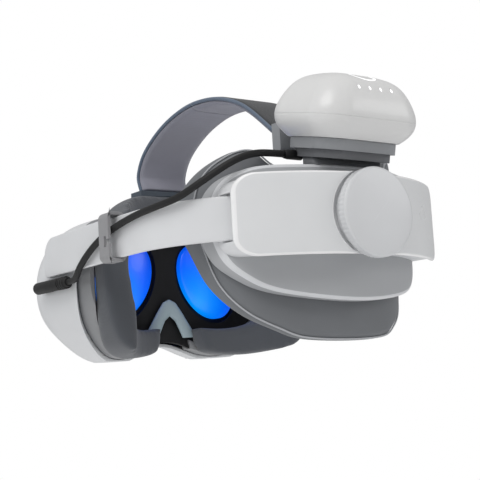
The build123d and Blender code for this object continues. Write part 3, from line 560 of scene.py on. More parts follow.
def closed_curve(points: Sequence[Point], per_span: int = 10) -> list[Point]:
    """Smooth closed curve through points.

    Args:
        points: corner points in order.
        per_span: new points for each span.

    Returns:
        Points along the curve.
    """
    count, curve = len(points), []
    for index in range(count):
        before, here, after, beyond = (points[(index + shift) % count] for shift in (-1, 0, 1, 2))
        for step in range(per_span):
            t = step / per_span
            curve.append(tuple(
                0.5 * (2 * b + (c - a) * t + (2 * a - 5 * b + 4 * c - d) * t * t + (3 * b - a - 3 * c + d) * t**3)
                for a, b, c, d in zip(before, here, after, beyond)
            ))
    return curve


def mirrored(half: Sequence[Point]) -> list[Point]:
    """Half an outline from its top centre down one side, closed with its mirror image."""
    return list(half) + [(-x, z) for x, z in reversed(half) if abs(x) > 0.01]


def rounded_bar(low: Point, high: Point, radii: Sequence[float], per_corner: int = 8) -> list[Point]:
    """Rectangle outline with its own radius at each corner.

    Args:
        low: lowest corner.
        high: highest corner.
        radii: corner radii, from the low corner anticlockwise.
        per_corner: points on each corner.

    Returns:
        Points round the outline.
    """
    corners = [(low[0], low[1], 180), (high[0], low[1], 270), (high[0], high[1], 0), (low[0], high[1], 90)]
    outline = []
    for (x, z, start), radius in zip(corners, radii):
        centre_x = x + (radius if x == low[0] else -radius)
        centre_z = z + (radius if z == low[1] else -radius)
        for step in range(per_corner + 1):
            angle = math.radians(start + 90 * step / per_corner)
            outline.append((centre_x + radius * math.cos(angle), centre_z + radius * math.sin(angle)))
    return outline


def refined(outline: Sequence[Point], longest: float) -> list[Point]:
    """Outline with its long spans divided."""
    points = []
    for here, after in zip(outline, list(outline[1:]) + [outline[0]]):
        parts = max(1, math.ceil(math.dist(here, after) / longest))
        for step in range(parts):
            t = step / parts
            points.append((here[0] + (after[0] - here[0]) * t, here[1] + (after[1] - here[1]) * t))
    return points


def inset_outline(outline: Sequence[Point], inset: float, tips: Sequence[Point] = ()) -> list[Point]:
    """Draw a closed outline in along its own normals.

    Args:
        outline: the closed outline.
        inset: how far in, in millimetres.
        tips: sharp corners, near which the inset fades.

    Returns:
        The new outline.
    """
    area = sum(outline[i - 1][0] * outline[i][1] - outline[i][0] * outline[i - 1][1] for i in range(len(outline)))
    turn = 1 if area > 0 else -1
    count = len(outline)
    moved = []
    for index, (u, v) in enumerate(outline):
        before, after = outline[index - 1], outline[(index + 1) % count]
        along_u, along_v = after[0] - before[0], after[1] - before[1]
        length = math.hypot(along_u, along_v) or 1.0
        nearest = min((math.hypot(u - tip[0], v - tip[1]) for tip in tips), default=100.0)
        step = inset * min(1.0, 0.1 * nearest)
        moved.append((u - turn * along_v / length * step, v + turn * along_u / length * step))
    return moved


@dataclass
class HaloCurve:
    """Plan curve of the band: a rear arc, a tangent side arc and a gently bowed run to the front."""

    rear_y: float = -126.8
    front_y: float = 101.0
    half_width: float = 102.2
    front_half_width: float = 97.0
    rear_radius: float = 107.9
    rear_half_angle: float = 50.0
    points: np.ndarray = field(init=False)
    normals: np.ndarray = field(init=False)

    def __post_init__(self) -> None:
        """Sample the curve from the left front end, round the rear, to the right front end."""
        turn = math.sin(math.radians(self.rear_half_angle))
        side_radius = (self.half_width - self.rear_radius * turn) / (1 - turn)
        rear_centre = self.rear_y + self.rear_radius
        side_x = self.half_width - side_radius
        side_y = rear_centre - (self.rear_radius - side_radius) * math.cos(math.radians(self.rear_half_angle))
        half = []
        for degrees in np.arange(0.0, 90.0, 0.5):
            angle = math.radians(degrees)
            sine, cosine = math.sin(angle), math.cos(angle)
            if degrees <= self.rear_half_angle:
                place = (self.rear_radius * sine, rear_centre - self.rear_radius * cosine)
            else:
                place = (side_x + side_radius * sine, side_y - side_radius * cosine)
            half.append((*place, sine, -cosine))
        bow = self.half_width - self.front_half_width
        run = self.front_y - side_y
        for y in np.arange(side_y, self.front_y + 12, 1.0):
            slope = 2 * bow * (y - side_y) / run**2
            length = math.hypot(1.0, slope)
            half.append((self.half_width - bow * ((y - side_y) / run) ** 2, y, 1 / length, slope / length))
        right = np.array(half)
        left = right[:0:-1] * np.array([-1, 1, -1, 1])
        both = np.vstack([left, right])
        self.points, self.normals = both[:, :2], both[:, 2:]

    def place(self, along: float, offset: float, way: Along, side: int = 1) -> Point:
        """Point of the band moved outwards by an offset.

        Args:
            along: X for a piece across the head, or Y for one front to back.
            offset: distance outwards from the band's outer face.
            way: which of the two along is.
            side: 1 for the right half and -1 for the left, for a piece front to back.

        Returns:
            X and Y.
        """
        moved = self.points + self.normals * offset
        middle = len(moved) // 2
        if way is Along.ACROSS:
            inside = slice(middle - ARC_SAMPLES, middle + ARC_SAMPLES + 1)
            row = moved[inside]
            return along, float(np.interp(along, row[:, 0], row[:, 1]))
        half = moved[middle:]
        return side * float(np.interp(along, half[:, 1], half[:, 0])), along


@dataclass
class Plate:
    """A plate that follows the band, with rounded rims and faces that may be crowned."""

    name: str
    outline: list[Point]
    outer: float
    inner: float
    rim: float
    way: Along = Along.ACROSS
    side: int = 1
    spine: tuple[Point, Point] = ((0.0, 73.0), (0.0, 73.0))
    crown_in: float = 0.0
    rim_steps: int = 5
    tips: Sequence[Point] = ()

    def build(self, curve: HaloCurve) -> bpy.types.Object:
        """Build the plate's mesh.

        Args:
            curve: the band that it follows.

        Returns:
            The new object.
        """
        shares = [0.04, 0.2, 0.38, 0.56, 0.74, 0.9] if self.crown_in else []
        rings = []
        quarter = [math.pi / 2 * step / self.rim_steps for step in range(self.rim_steps + 1)]
        for angle in quarter:
            inset, drop = self.rim * (1 - math.sin(angle)), self.rim * (1 - math.cos(angle))
            rings.append(self.ring(curve, inset, self.outer - drop))
        for angle in reversed(quarter):
            inset, drop = self.rim * (1 - math.sin(angle)), self.rim * (1 - math.cos(angle))
            rings.append(self.ring(curve, inset, self.inner + drop))
        rings += [self.fill_ring(curve, share, self.inner, -self.crown_in) for share in reversed(shares)]
        inner_lid = None if self.crown_in else self.lid(curve, self.inner)
        return rings_solid(self.name, rings, (self.lid(curve, self.outer), inner_lid))

    def lid(self, curve: HaloCurve, offset: float) -> tuple[list[Point3], list[tuple[int, ...]]]:
        """Evenly meshed face inside the rim.

        Args:
            curve: the band.
            offset: the face's offset from the band.

        Returns:
            The inner points, and triangles that count the rim's points first.
        """
        edge = inset_outline(self.outline, self.rim, self.tips)
        count, spacing = len(edge), FACE_SPACING
        low = [min(point[axis] for point in edge) for axis in (0, 1)]
        high = [max(point[axis] for point in edge) for axis in (0, 1)]
        start, end = np.array(edge), np.roll(np.array(edge), -1, axis=0)
        inner = []
        for u in np.arange(low[0] + spacing / 2, high[0], spacing):
            for v in np.arange(low[1] + spacing / 2, high[1], spacing):
                crosses = (start[:, 1] > v) != (end[:, 1] > v)
                rise = np.where(crosses, end[:, 1] - start[:, 1], 1.0)
                at = start[:, 0] + (v - start[:, 1]) / rise * (end[:, 0] - start[:, 0])
                nearest = np.min(np.hypot(start[:, 0] - u, start[:, 1] - v))
                if np.sum(crosses & (at > u)) % 2 and nearest > 0.6 * spacing:
                    inner.append((float(u), float(v)))
        flat = [Vector(point) for point in edge + inner]
        border = [(index, (index + 1) % count) for index in range(count)]
        found = delaunay_2d_cdt(flat, border, [], 1, 1e-5)
        names = [min(items) for items in found[3]]
        triangles = [tuple(names[item] for item in face) for face in found[2]]
        return [self.lift(curve, point, offset) for point in inner], triangles

    def ring(self, curve: HaloCurve, inset: float, offset: float) -> list[Point3]:
        """One ring of the rim, drawn in by inset."""
        return [self.lift(curve, point, offset) for point in inset_outline(self.outline, inset, self.tips)]

    def fill_ring(self, curve: HaloCurve, share: float, offset: float, crown: float) -> list[Point3]:
        """One ring of a face, drawn in towards the plate's spine.

        Args:
            curve: the band.
            share: 0 on the spine and 1 on the rim.
            offset: the face's offset at the rim.
            crown: how far the face rises at the spine.

        Returns:
            The ring's points.
        """
        (low_u, low_v), (high_u, high_v) = self.spine
        raised = offset + crown * (1 - share * share)
        points = []
        for u, v in inset_outline(self.outline, self.rim, self.tips):
            target = (min(max(u, low_u), high_u), min(max(v, low_v), high_v))
            moved = (target[0] + (u - target[0]) * share, target[1] + (v - target[1]) * share)
            points.append(self.lift(curve, moved, raised))
        return points

    def lift(self, curve: HaloCurve, point: Point, offset: float) -> Point3:
        """Put one outline point on the band at an offset."""
        x, y = curve.place(point[0], offset, self.way, self.side)
        return x, y, point[1]


def turned(
    name: str, profile: Sequence[Point], centre: Point3, axis: Along, segments: int = 96,
    grip: Optional[Callable[[int, float], float]] = None,
) -> bpy.types.Object:
    """Solid of revolution about an axis through a centre.

    Args:
        name: the piece's name.
        profile: distance along the axis and radius, from one end to the other, in millimetres.
        centre: point where the distance along the axis is zero.
        axis: ACROSS for X and LENGTHWISE for Y.
        segments: points round it.
        grip: changes a radius by segment number and distance, for grooves.

    Returns:
        The new object.
    """
    rings = []
    for distance, radius in profile:
        ring = []
        for step in range(segments):
            angle = 2 * math.pi * step / segments
            reach = radius + (grip(step, distance) if grip else 0.0)
            u, v = reach * math.cos(angle), reach * math.sin(angle)
            offset = (distance, u, v) if axis is Along.ACROSS else (u, distance, v)
            ring.append(tuple(a + b for a, b in zip(centre, offset)))
        rings.append(ring)
    return rings_solid(name, rings)


def tube(name: str, line: Sequence[Vector], radius: float, segments: int = 20) -> bpy.types.Object:
    """Round tube along a line.

    Args:
        name: the piece's name.
        line: points in millimetres.
        radius: the tube's radius in millimetres.
        segments: points round it.

    Returns:
        The new object.
    """
    rings, side = [], Vector((0, 0, 1))
    for index, here in enumerate(line):
        before, after = line[max(index - 1, 0)], line[min(index + 1, len(line) - 1)]
        along = (after - before).normalized()
        side = (side - along * side.dot(along)).normalized()
        other = along.cross(side)
        rings.append([
            tuple(here + side * (radius * math.cos(turn)) + other * (radius * math.sin(turn)))
            for turn in (2 * math.pi * step / segments for step in range(segments))
        ])
    return rings_solid(name, rings)


@dataclass
class Workshop:
    """Shared tools of every sub-assembly: the finishes, the band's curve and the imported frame."""

    finishes: Finishes
    curve: HaloCurve
    frame: dict

    def dress(self, piece: bpy.types.Object, *finishes: Finish) -> bpy.types.Object:
        """Give a piece its materials, in order."""
        piece.data.materials.clear()
        for finish in finishes:
            piece.data.materials.append(self.finishes.get(finish))
        return piece

    def paint_node(self, node: str, finish: Finish, bevel: float = 0.0) -> bpy.types.Object:
        """Finish a CAD node that keeps its own shape.

        Args:
            node: the node's name.
            finish: its material.
            bevel: width in millimetres that its sharp edges are rounded by.

        Returns:
            The node's object.
        """
        made = self.frame["nodes"][node]
        self.dress(made, finish)
        if bevel:
            weld = made.modifiers.new("weld", "WELD")
            weld.merge_threshold = 0.000002
            edge = made.modifiers.new("edge_round", "BEVEL")
            edge.width = bevel * MM
            edge.segments = 2
            edge.limit_method = "ANGLE"
            edge.angle_limit = math.radians(40)
            edge.harden_normals = True
        LOG.info("%s finished as %s", node, finish.name)
        return made

    def settle(self, piece: bpy.types.Object, body: Body, slot: str, *nodes: str) -> bpy.types.Object:
        """Fix a piece to a body and hide the nodes it stands for.

        Args:
            piece: the finished piece.
            body: the body that it rides on.
            slot: its material slot in the record; not used.
            nodes: CAD nodes that it replaces.

        Returns:
            The piece.
        """
        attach(piece, body.value)
        return self.name_slot(piece, slot, *nodes)

    def name_slot(self, piece: bpy.types.Object, slot: str, *nodes: str) -> bpy.types.Object:
        """Hide the nodes a piece stands for and log that it is built."""
        if nodes:
            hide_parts(*nodes)
        LOG.info("%s built", piece.name)
        return piece


def soft_copy(
    node: bpy.types.Object, name: str, voxel: float, rounding: int, pressure: float, cap: float
) -> bpy.types.Object:
    """Pad made from a node's solid: remeshed, puffed up by a cloth simulation and smoothed.

    Args:
        node: the CAD node's object.
        name: the new piece's name.
        voxel: remesh size in millimetres.
        rounding: smoothing passes before it is puffed up.
        pressure: the simulation's pressure.
        cap: the furthest a point may move, in millimetres.

    Returns:
        The new object, with its modifiers applied.
    """
    mesh = node.data.copy()
    mesh.name = name
    made = bpy.data.objects.new(name, mesh)
    bpy.context.scene.collection.objects.link(made)
    remesh = made.modifiers.new("remesh", "REMESH")
    remesh.mode = "VOXEL"
    remesh.voxel_size = voxel * MM
    smooth = made.modifiers.new("smooth", "SMOOTH")
    smooth.factor = 0.6
    smooth.iterations = rounding
    apply_modifiers(made)
    rest = np.array([vertex.co for vertex in made.data.vertices])
    puff(made, pressure)
    moved = np.array([vertex.co for vertex in made.data.vertices]) - rest
    length = np.linalg.norm(moved, axis=1, keepdims=True)
    limit = cap * MM
    moved *= np.minimum(1.0, limit / np.maximum(length, 1e-9))
    made.data.vertices.foreach_set("co", (rest + moved).ravel())
    relax = made.modifiers.new("relax", "SMOOTH")
    relax.iterations = 4
    divide = made.modifiers.new("divide", "SUBSURF")
    divide.levels = divide.render_levels = 1
    apply_modifiers(made)
    made.data.shade_smooth()
    return made


def puff(piece: bpy.types.Object, pressure: float) -> None:
    """Blow a closed piece up a little with cloth simulation.

    Args:
        piece: the piece, changed in place.
        pressure: pressure inside it.
    """
    scene = bpy.context.scene
    cloth = piece.modifiers.new("cloth", "CLOTH")
    cloth.settings.use_pressure = True
    cloth.settings.uniform_pressure_force = pressure
    cloth.settings.tension_stiffness = 40
    cloth.settings.compression_stiffness = 40
    cloth.settings.effector_weights.gravity = 0
    cloth.point_cache.frame_start, cloth.point_cache.frame_end = 1, 20
    for frame_number in range(1, 15):
        scene.frame_set(frame_number)
        bpy.context.view_layer.update()
    apply_modifiers(piece)
    scene.frame_set(1)


def apply_modifiers(piece: bpy.types.Object) -> None:
    """Turn a piece's modifiers into its mesh."""
    graph = bpy.context.evaluated_depsgraph_get()
    shaped = bpy.data.meshes.new_from_object(piece.evaluated_get(graph))
    old = piece.data
    piece.modifiers.clear()
    piece.data = shaped
    shaped.name = piece.name
    if old.users == 0:
        bpy.data.meshes.remove(old)


# ---- sub-assemblies ----


@dataclass
class Visor:
    """Front display body with its interface, face cushion, nose flap and optics."""

    shop: Workshop
    eye_spacing: float = 72.0
    eye_z: float = 58.0
    cup_half_width: float = 21.0
    cup_half_height: float = 30.6
    cup_rear: float = 95.0
    cup_front: float = 99.9
    lean: float = 30.0
    flap_y: float = 93.4
    flap_depth: float = 2.4

    def build(self) -> None:
        """Build and dress every piece of the visor."""
        plain = {
            "front_shell": (SHELL, 0.5), "tracking_cameras": (CAMERA_WINDOW, 0.0), "facial_interface": (INTERFACE, 0.6),
            "eye_frame": (OPTIC_BLACK, 0.0), "main_board": (BOARD, 0.0), "cooling_fan": (OPTIC_BLACK, 0.0),
            "usb_port": (STEEL, 0.0), "power_button": (SHELL, 0.4), "volume_rocker": (SHELL, 0.4),
            "strap_base": (SLATE, 0.8), "left_pivot_pin": (STEEL, 0.0), "right_pivot_pin": (STEEL, 0.0),
            "left_display": (OPTIC_BLACK, 0.0), "right_display": (OPTIC_BLACK, 0.0),
        }
        for node, (finish, bevel) in plain.items():
            self.shop.paint_node(node, finish, bevel)
        self.face_pad()
        self.flap()
        for side, name, body in ((-1, "left", Body.LEFT_OPTIC), (1, "right", Body.RIGHT_OPTIC)):
            self.shop.paint_node(name + "_lens_barrel", OPTIC_BLACK)
            self.eye_cup(side, name, body)

    def face_pad(self) -> None:
        """Padded ring that rests on the face."""
        pad = soft_copy(self.shop.frame["nodes"]["face_cushion"], "face_pad", 2.4, 12, 2.0, 1.6)
        self.shop.dress(pad, FACE_FOAM)
        self.shop.settle(pad, Body.VISOR, "face_foam", "face_cushion")

    def flap(self) -> None:
        """Soft inverted V beside the nose, bowed towards the face and thin at its edge."""
        outer = [
            (-22.5, 15.5), (-18.2, 23), (-11, 34), (-5.5, 41.6), (0, 44), (5.5, 41.6), (11, 34), (18.2, 23), (22.5, 15.5),
        ]
        inner = [(10.5, 15.2), (7.6, 21.5), (4.2, 28.0), (0, 31.4), (-4.2, 28.0), (-7.6, 21.5), (-10.5, 15.2)]
        count, across = 64, 8
        left, right = self.even(outer, count), self.even(inner[::-1], count)
        rings = []
        for (x0, z0), (x1, z1) in zip(left, right):
            ring = []
            for step in range(2 * across):
                turn = 2 * math.pi * step / (2 * across)
                t = 0.5 - 0.5 * math.cos(turn)
                thick = self.flap_depth / 2 * math.sin(turn)
                ring.append((x0 + (x1 - x0) * t, self.flap_y + thick - 1.2 * math.sin(math.pi * t), z0 + (z1 - z0) * t))
            rings.append(ring)
        made = rings_solid("nose_flap_soft", rings)
        self.shop.dress(made, NOSE)
        self.shop.settle(made, Body.VISOR, "nose_rubber", "nose_flap")

    @staticmethod
    def even(line: Sequence[Point], count: int) -> list[Point]:
        """Evenly spaced points along a line through points."""
        far = [0.0]
        for here, after in zip(line, line[1:]):
            far.append(far[-1] + math.dist(here, after))
        steps = np.linspace(0.0, far[-1], count)
        return list(zip(np.interp(steps, far, [p[0] for p in line]), np.interp(steps, far, [p[1] for p in line])))

    def eye_cup(self, side: int, name: str, body: Body) -> None:
        """Domed oval lens of one eye, with a painted blue glow as though lit from behind.

        Args:
            side: 1 for the right eye and -1 for the left.
            name: the eye's name.
            body: the sliding optic that it rides on.
        """
        lean = math.radians(self.lean * side)
        centre_x = side * self.eye_spacing / 2
        rings = []
        for depth, share in (
            (self.cup_rear - 3.4, 0.03), (self.cup_rear - 3.3, 0.25), (self.cup_rear - 2.9, 0.45),
            (self.cup_rear - 2.2, 0.64), (self.cup_rear - 1.3, 0.8), (self.cup_rear - 0.5, 0.91),
            (self.cup_rear + 0.2, 0.97), (self.cup_rear + 0.9, 1.0), (self.cup_front, 1.0), (self.cup_front, 0.9),
            (self.cup_front, 0.03),
        ):
            ring = []
            for step in range(96):
                turn = 2 * math.pi * step / 96
                u = self.cup_half_width * share * math.cos(turn)
                v = self.cup_half_height * share * math.sin(turn)
                ring.append((
                    centre_x + u * math.cos(lean) - v * math.sin(lean), depth,
                    self.eye_z + u * math.sin(lean) + v * math.cos(lean),
                ))
            rings.append(ring)
        lens = rings_solid(name + "_eye_lens", rings)
        # Painted bright spot of the lens's glow.
        spot = (centre_x - 9.0, self.cup_rear, self.eye_z - 16.0)
        self.shop.dress(lens, painted_eye_glow(name + "_eye_painted_glow", tuple(MM * value for value in spot)))
        self.shop.settle(lens, body, "lens_glass", name + "_lens")


@dataclass
class Sides:
    """Rigid front arms, flexible bands and the cable clip."""

    shop: Workshop
    band_z: float = 73.0
    arm_height: float = 27.4
    arm_front: float = 101.0
    arm_thickness: float = 3.0
    strap_height: float = 26.0
    strap_rear: float = -103.0
    overlap: float = 0.0

    def build(self) -> None:
        """Build both sides."""
        for side, name in ((-1, "left"), (1, "right")):
            self.arm(side, name)
            self.strap(side, name)
        self.shop.paint_node("cable_clip", CLIP, 0.5)

    def arm(self, side: int, name: str) -> None:
        """Rigid arm from the visor's pivot back along the head."""
        low, high = self.band_z - self.arm_height / 2, self.band_z + self.arm_height / 2
        outline = refined(rounded_bar((self.overlap, low), (self.arm_front, high), (2, 6, 15, 2)), 4.0)
        plate = Plate(
            name + "_arm_shell", outline, 0.0, -self.arm_thickness, 0.9, Along.LENGTHWISE, side,
        )
        made = self.shop.dress(plate.build(self.shop.curve), SHELL)
        self.shop.settle(made, Body.SIDES, "shell_white", name + "_arm")

    def strap(self, side: int, name: str) -> None:
        """Flexible band from the arm into the rear housing."""
        low, high = self.band_z - self.strap_height / 2, self.band_z + self.strap_height / 2
        outline = refined(rounded_bar((self.strap_rear, low), (self.overlap - 0.1, high), (3, 1, 1, 3)), 3.0)
        plate = Plate(
            name + "_band", outline, -0.15, -2.85, 0.8, Along.LENGTHWISE, side,
        )
        made = self.shop.dress(plate.build(self.shop.curve), BAND)
        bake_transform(made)
        self.shop.name_slot(made, "strap_white", name + "_strap")


CRADLE_HALF = [
    (0, 104), (36, 104), (56, 103.7), (66.5, 101), (73.5, 96), (77.7, 87), (79, 74), (77.8, 60), (73.5, 47),
    (64.5, 37), (55, 31), (41, 27), (20, 24), (0, 23),
]
HEAD_PAD_HALF = [
    (0, 100), (28, 100), (43, 106), (52, 115), (61, 115.5), (71, 109), (76.5, 100), (78.8, 88), (78.8, 76), (77, 61),
    (71.5, 36), (60.7, 19), (45, 8), (30, 2), (0, 0.2),
]


@dataclass
class RearCradle:
    """Rear housing, cover panels, dial, cradle and head cushion."""

    shop: Workshop
    band_z: float = 73.0
    panel_half_width: float = 79.0
    panel_height: float = 48.4
    panel_corner: float = 11.0
    panel_outer: float = 9.2
    panel_inner: float = 6.4
    dial_radius: float = 26.8
    dial_gap: float = 0.6
    dial_face: float = -142.1
    dial_seat: float = -134.9
    cradle_outer: float = -5.9
    cradle_inner: float = -15.9
    neck_half_width: float = 26.9
    neck_rear: float = -117.5
    neck_front: float = -104.6
    neck_low: float = 101.0
    dock_tilt: float = 13.0
    dock_y: float = -111.0
    dock_z: float = 109.5
    pad_outer: float = -16.2
    pad_inner: float = -25.8

    def build(self) -> None:
        """Build and dress every piece behind the head."""
        for node in ("rear_housing",):
            self.shop.paint_node(node, SHELL, 0.4)
        for node in ("dial_shaft", "left_rack", "right_rack"):
            self.shop.paint_node(node, NYLON)
        for side, name in ((-1, "left"), (1, "right")):
            self.panel(side, name)
        self.dial()
        self.cradle()
        self.head_pad()

    def panel(self, side: int, name: str) -> None:
        """Cover panel with a lighter bevelled rim, a painted highlight, cut round to clear the dial."""
        half, clear = self.panel_height / 2, self.dial_radius + self.dial_gap
        tip = math.acos(half / clear)
        outline = rounded_bar(
            (-self.panel_half_width, self.band_z - half), (0, self.band_z + half),
            (self.panel_corner, 0.0, 0.0, self.panel_corner),
        )
        body = [point for point in outline if point[0] < -1]
        turn = len(body) // 2
        cut = []
        for step in range(25):
            angle = math.pi + tip - math.pi / 2 + (math.pi - 2 * tip) * (-0.5 + step / 24) + math.pi / 2 - tip
            cut.append((clear * math.cos(angle), self.band_z - clear * math.sin(angle)))
        cut = sorted(cut, key=lambda point: point[1])
        shape = refined(body[:turn] + cut + body[turn:], 3.0)
        if side > 0:
            shape = [(-u, v) for u, v in shape]
        plate = Plate(
            name + "_cover_panel", shape, self.panel_outer, self.panel_inner, 1.3,
            tips=[(side * clear * math.sin(tip), self.band_z + end * half) for end in (-1, 1)],
        )
        made = self.shop.dress(plate.build(self.shop.curve), PANEL, PANEL_RIM_HIGHLIGHT)
        # The rim's faces take the lighter rim material: a painted highlight.
        count = len(shape)
        first, last = 0, plate.rim_steps * count
        for index, face in enumerate(made.data.polygons):
            face.material_index = 1 if first <= index < last else 0
        self.shop.settle(made, Body.REAR, "panel_white", name + "_panel")

    def dial(self) -> None:
        """Turning knob with a softly domed face, a bright bevel and a fine grip."""
        face, seat, radius = self.dial_face, self.dial_seat, self.dial_radius

        def grip(step: int, distance: float) -> float:
            """Depth of the grip's grooves."""
            inside = face + 2.2 < distance < seat - 0.5
            return -0.4 if inside and step % 4 == 0 else 0.0

        profile = [
            (face, 0.3), (face + 0.04, 6), (face + 0.14, 12), (face + 0.3, 18), (face + 0.55, 24.0),
            (face + 0.75, radius - 1.5), (face + 0.82, radius - 1.25), (face + 1.05, radius - 1.0),
            (face + 1.45, radius - 0.35), (face + 2.0, radius), (face + 2.3, radius), (face + 3.5, radius),
            (seat - 1.5, radius), (seat - 0.6, radius), (seat - 0.1, radius - 0.4), (seat, radius - 1),
            (seat, 6.0), (seat, 0.3),
        ]
        made = turned("dial_knob", profile, (0.0, 0.0, self.band_z), Along.LENGTHWISE, 240, grip)
        self.shop.dress(made, DIAL_FACE)
        self.shop.settle(made, Body.DIAL, "shell_white", "dial")

    def cradle(self) -> None:
        """Hard curved plate between the housing and the cushion, its rim painted lighter as a highlight."""
        plate = Plate(
            "cradle_plate", closed_curve(mirrored(CRADLE_HALF), 6), self.cradle_outer, self.cradle_inner, 2.0,
        )
        made = self.shop.dress(plate.build(self.shop.curve), CRADLE, CRADLE_RIM_HIGHLIGHT)
        self.paint_rim(made, plate)
        self.shop.settle(made, Body.REAR, "cradle_grey", "cradle")
        corner, gap = 3.0, 0.1
        half = self.neck_half_width
        foot = refined(rounded_bar((-half, self.neck_rear), (half, self.neck_front), (corner,) * 4), 4.0)
        lean = math.tan(math.radians(self.dock_tilt))
        low = [(x, y, self.neck_low) for x, y in foot]
        top = [(x, y, self.dock_z + (y - self.dock_y) * lean - gap) for x, y in foot]
        # The neck under the dock takes the darker dock grey: painted shade.
        neck = self.shop.dress(rings_solid("cradle_neck", [low, top]), DOCK_SHADE)
        self.shop.settle(neck, Body.REAR, "dock_dark", "cradle")

    def head_pad(self) -> None:
        """Soft cushion for the back of the head, crowned inwards and piped round its rim; the lighter piping is a
        painted highlight of the lit rim.
        """
        outline = closed_curve(mirrored(HEAD_PAD_HALF), 6)
        plate = Plate(
            "head_pad", outline, self.pad_outer, self.pad_inner, 4.6,
            spine=((-40.0, 58.0), (40.0, 58.0)), crown_in=2.4, rim_steps=7,
        )
        made = self.shop.dress(plate.build(self.shop.curve), HEAD_PAD)
        self.shop.settle(made, Body.REAR, "head_pad", "head_cushion")
        seam = inset_outline(outline, 0.7)
        line = [Vector((*self.shop.curve.place(x, self.pad_outer - 0.9, Along.ACROSS), z)) for x, z in seam]
        # Lighter piping along the rim: a painted highlight.
        piping = self.ring_tube("head_pad_highlight_piping", line, 0.55)
        self.shop.dress(piping, HEAD_PAD_HIGHLIGHT)
        self.shop.settle(piping, Body.REAR, "head_pad")

    @staticmethod
    def ring_tube(name: str, line: Sequence[Vector], radius: float) -> bpy.types.Object:
        """Closed round tube along a closed line.

        Args:
            name: the piece's name.
            line: points in millimetres.
            radius: the tube's radius.

        Returns:
            The new object.
        """
        count, around = len(line), 10
        points, faces = [], []
        for index, here in enumerate(line):
            along = (line[(index + 1) % count] - line[index - 1]).normalized()
            side = Vector((0, -1, 0))
            side = (side - along * side.dot(along)).normalized()
            other = along.cross(side)
            for step in range(around):
                turn = 2 * math.pi * step / around
                points.append(tuple(here + side * (radius * math.cos(turn)) + other * (radius * math.sin(turn))))
        for index in range(count):
            for step in range(around):
                after, following = (index + 1) % count, (step + 1) % around
                here, there = index * around, after * around
                faces.append((here + step, here + following, there + following, there + step))
        return solid(name, points, faces)

    @staticmethod
    def paint_rim(made: bpy.types.Object, plate: Plate) -> None:
        """Give a plate's outer rim its second, lighter material: a painted highlight."""
        count = len(plate.outline)
        first, last = 0, plate.rim_steps * count
        for index, face in enumerate(made.data.polygons):
            face.material_index = 1 if first <= index < last else 0


@dataclass
class BatteryDock:
    """Battery, its dock and the top strap's rear bracket."""

    shop: Workshop

    def build(self) -> None:
        """Dress every piece of the dock and battery."""
        # dock_base takes the darker dock grey: painted shade on the dock's underside.
        plain = {
            "dock_base": (DOCK_SHADE, 0.5), "dock_rim": (DOCK_RIM, 0.7), "strap_anchor": (DOCK_RIM, 0.7),
            "dock_magnets": (STEEL, 0.0), "dock_pins": (CONTACT, 0.0), "battery_lower_shell": (BATTERY, 0.25),
            "battery_upper_shell": (BATTERY, 0.2), "battery_contacts": (CONTACT, 0.0), "battery_cells": (CELL, 0.0),
            "battery_board": (BOARD, 0.0), "keeper_plates": (STEEL, 0.0), "light_ring": (RING_LIGHT, 0.0),
            "charge_lights": (RING_LIGHT, 0.0), "battery_button": (BATTERY, 0.2),
        }
        for node, (finish, bevel) in plain.items():
            self.shop.paint_node(node, finish, bevel)


ARCH = [(94, 124), (97, 137), (86, 153), (60, 167), (30, 174), (4, 174), (-20, 169), (-44, 158), (-72, 136)]


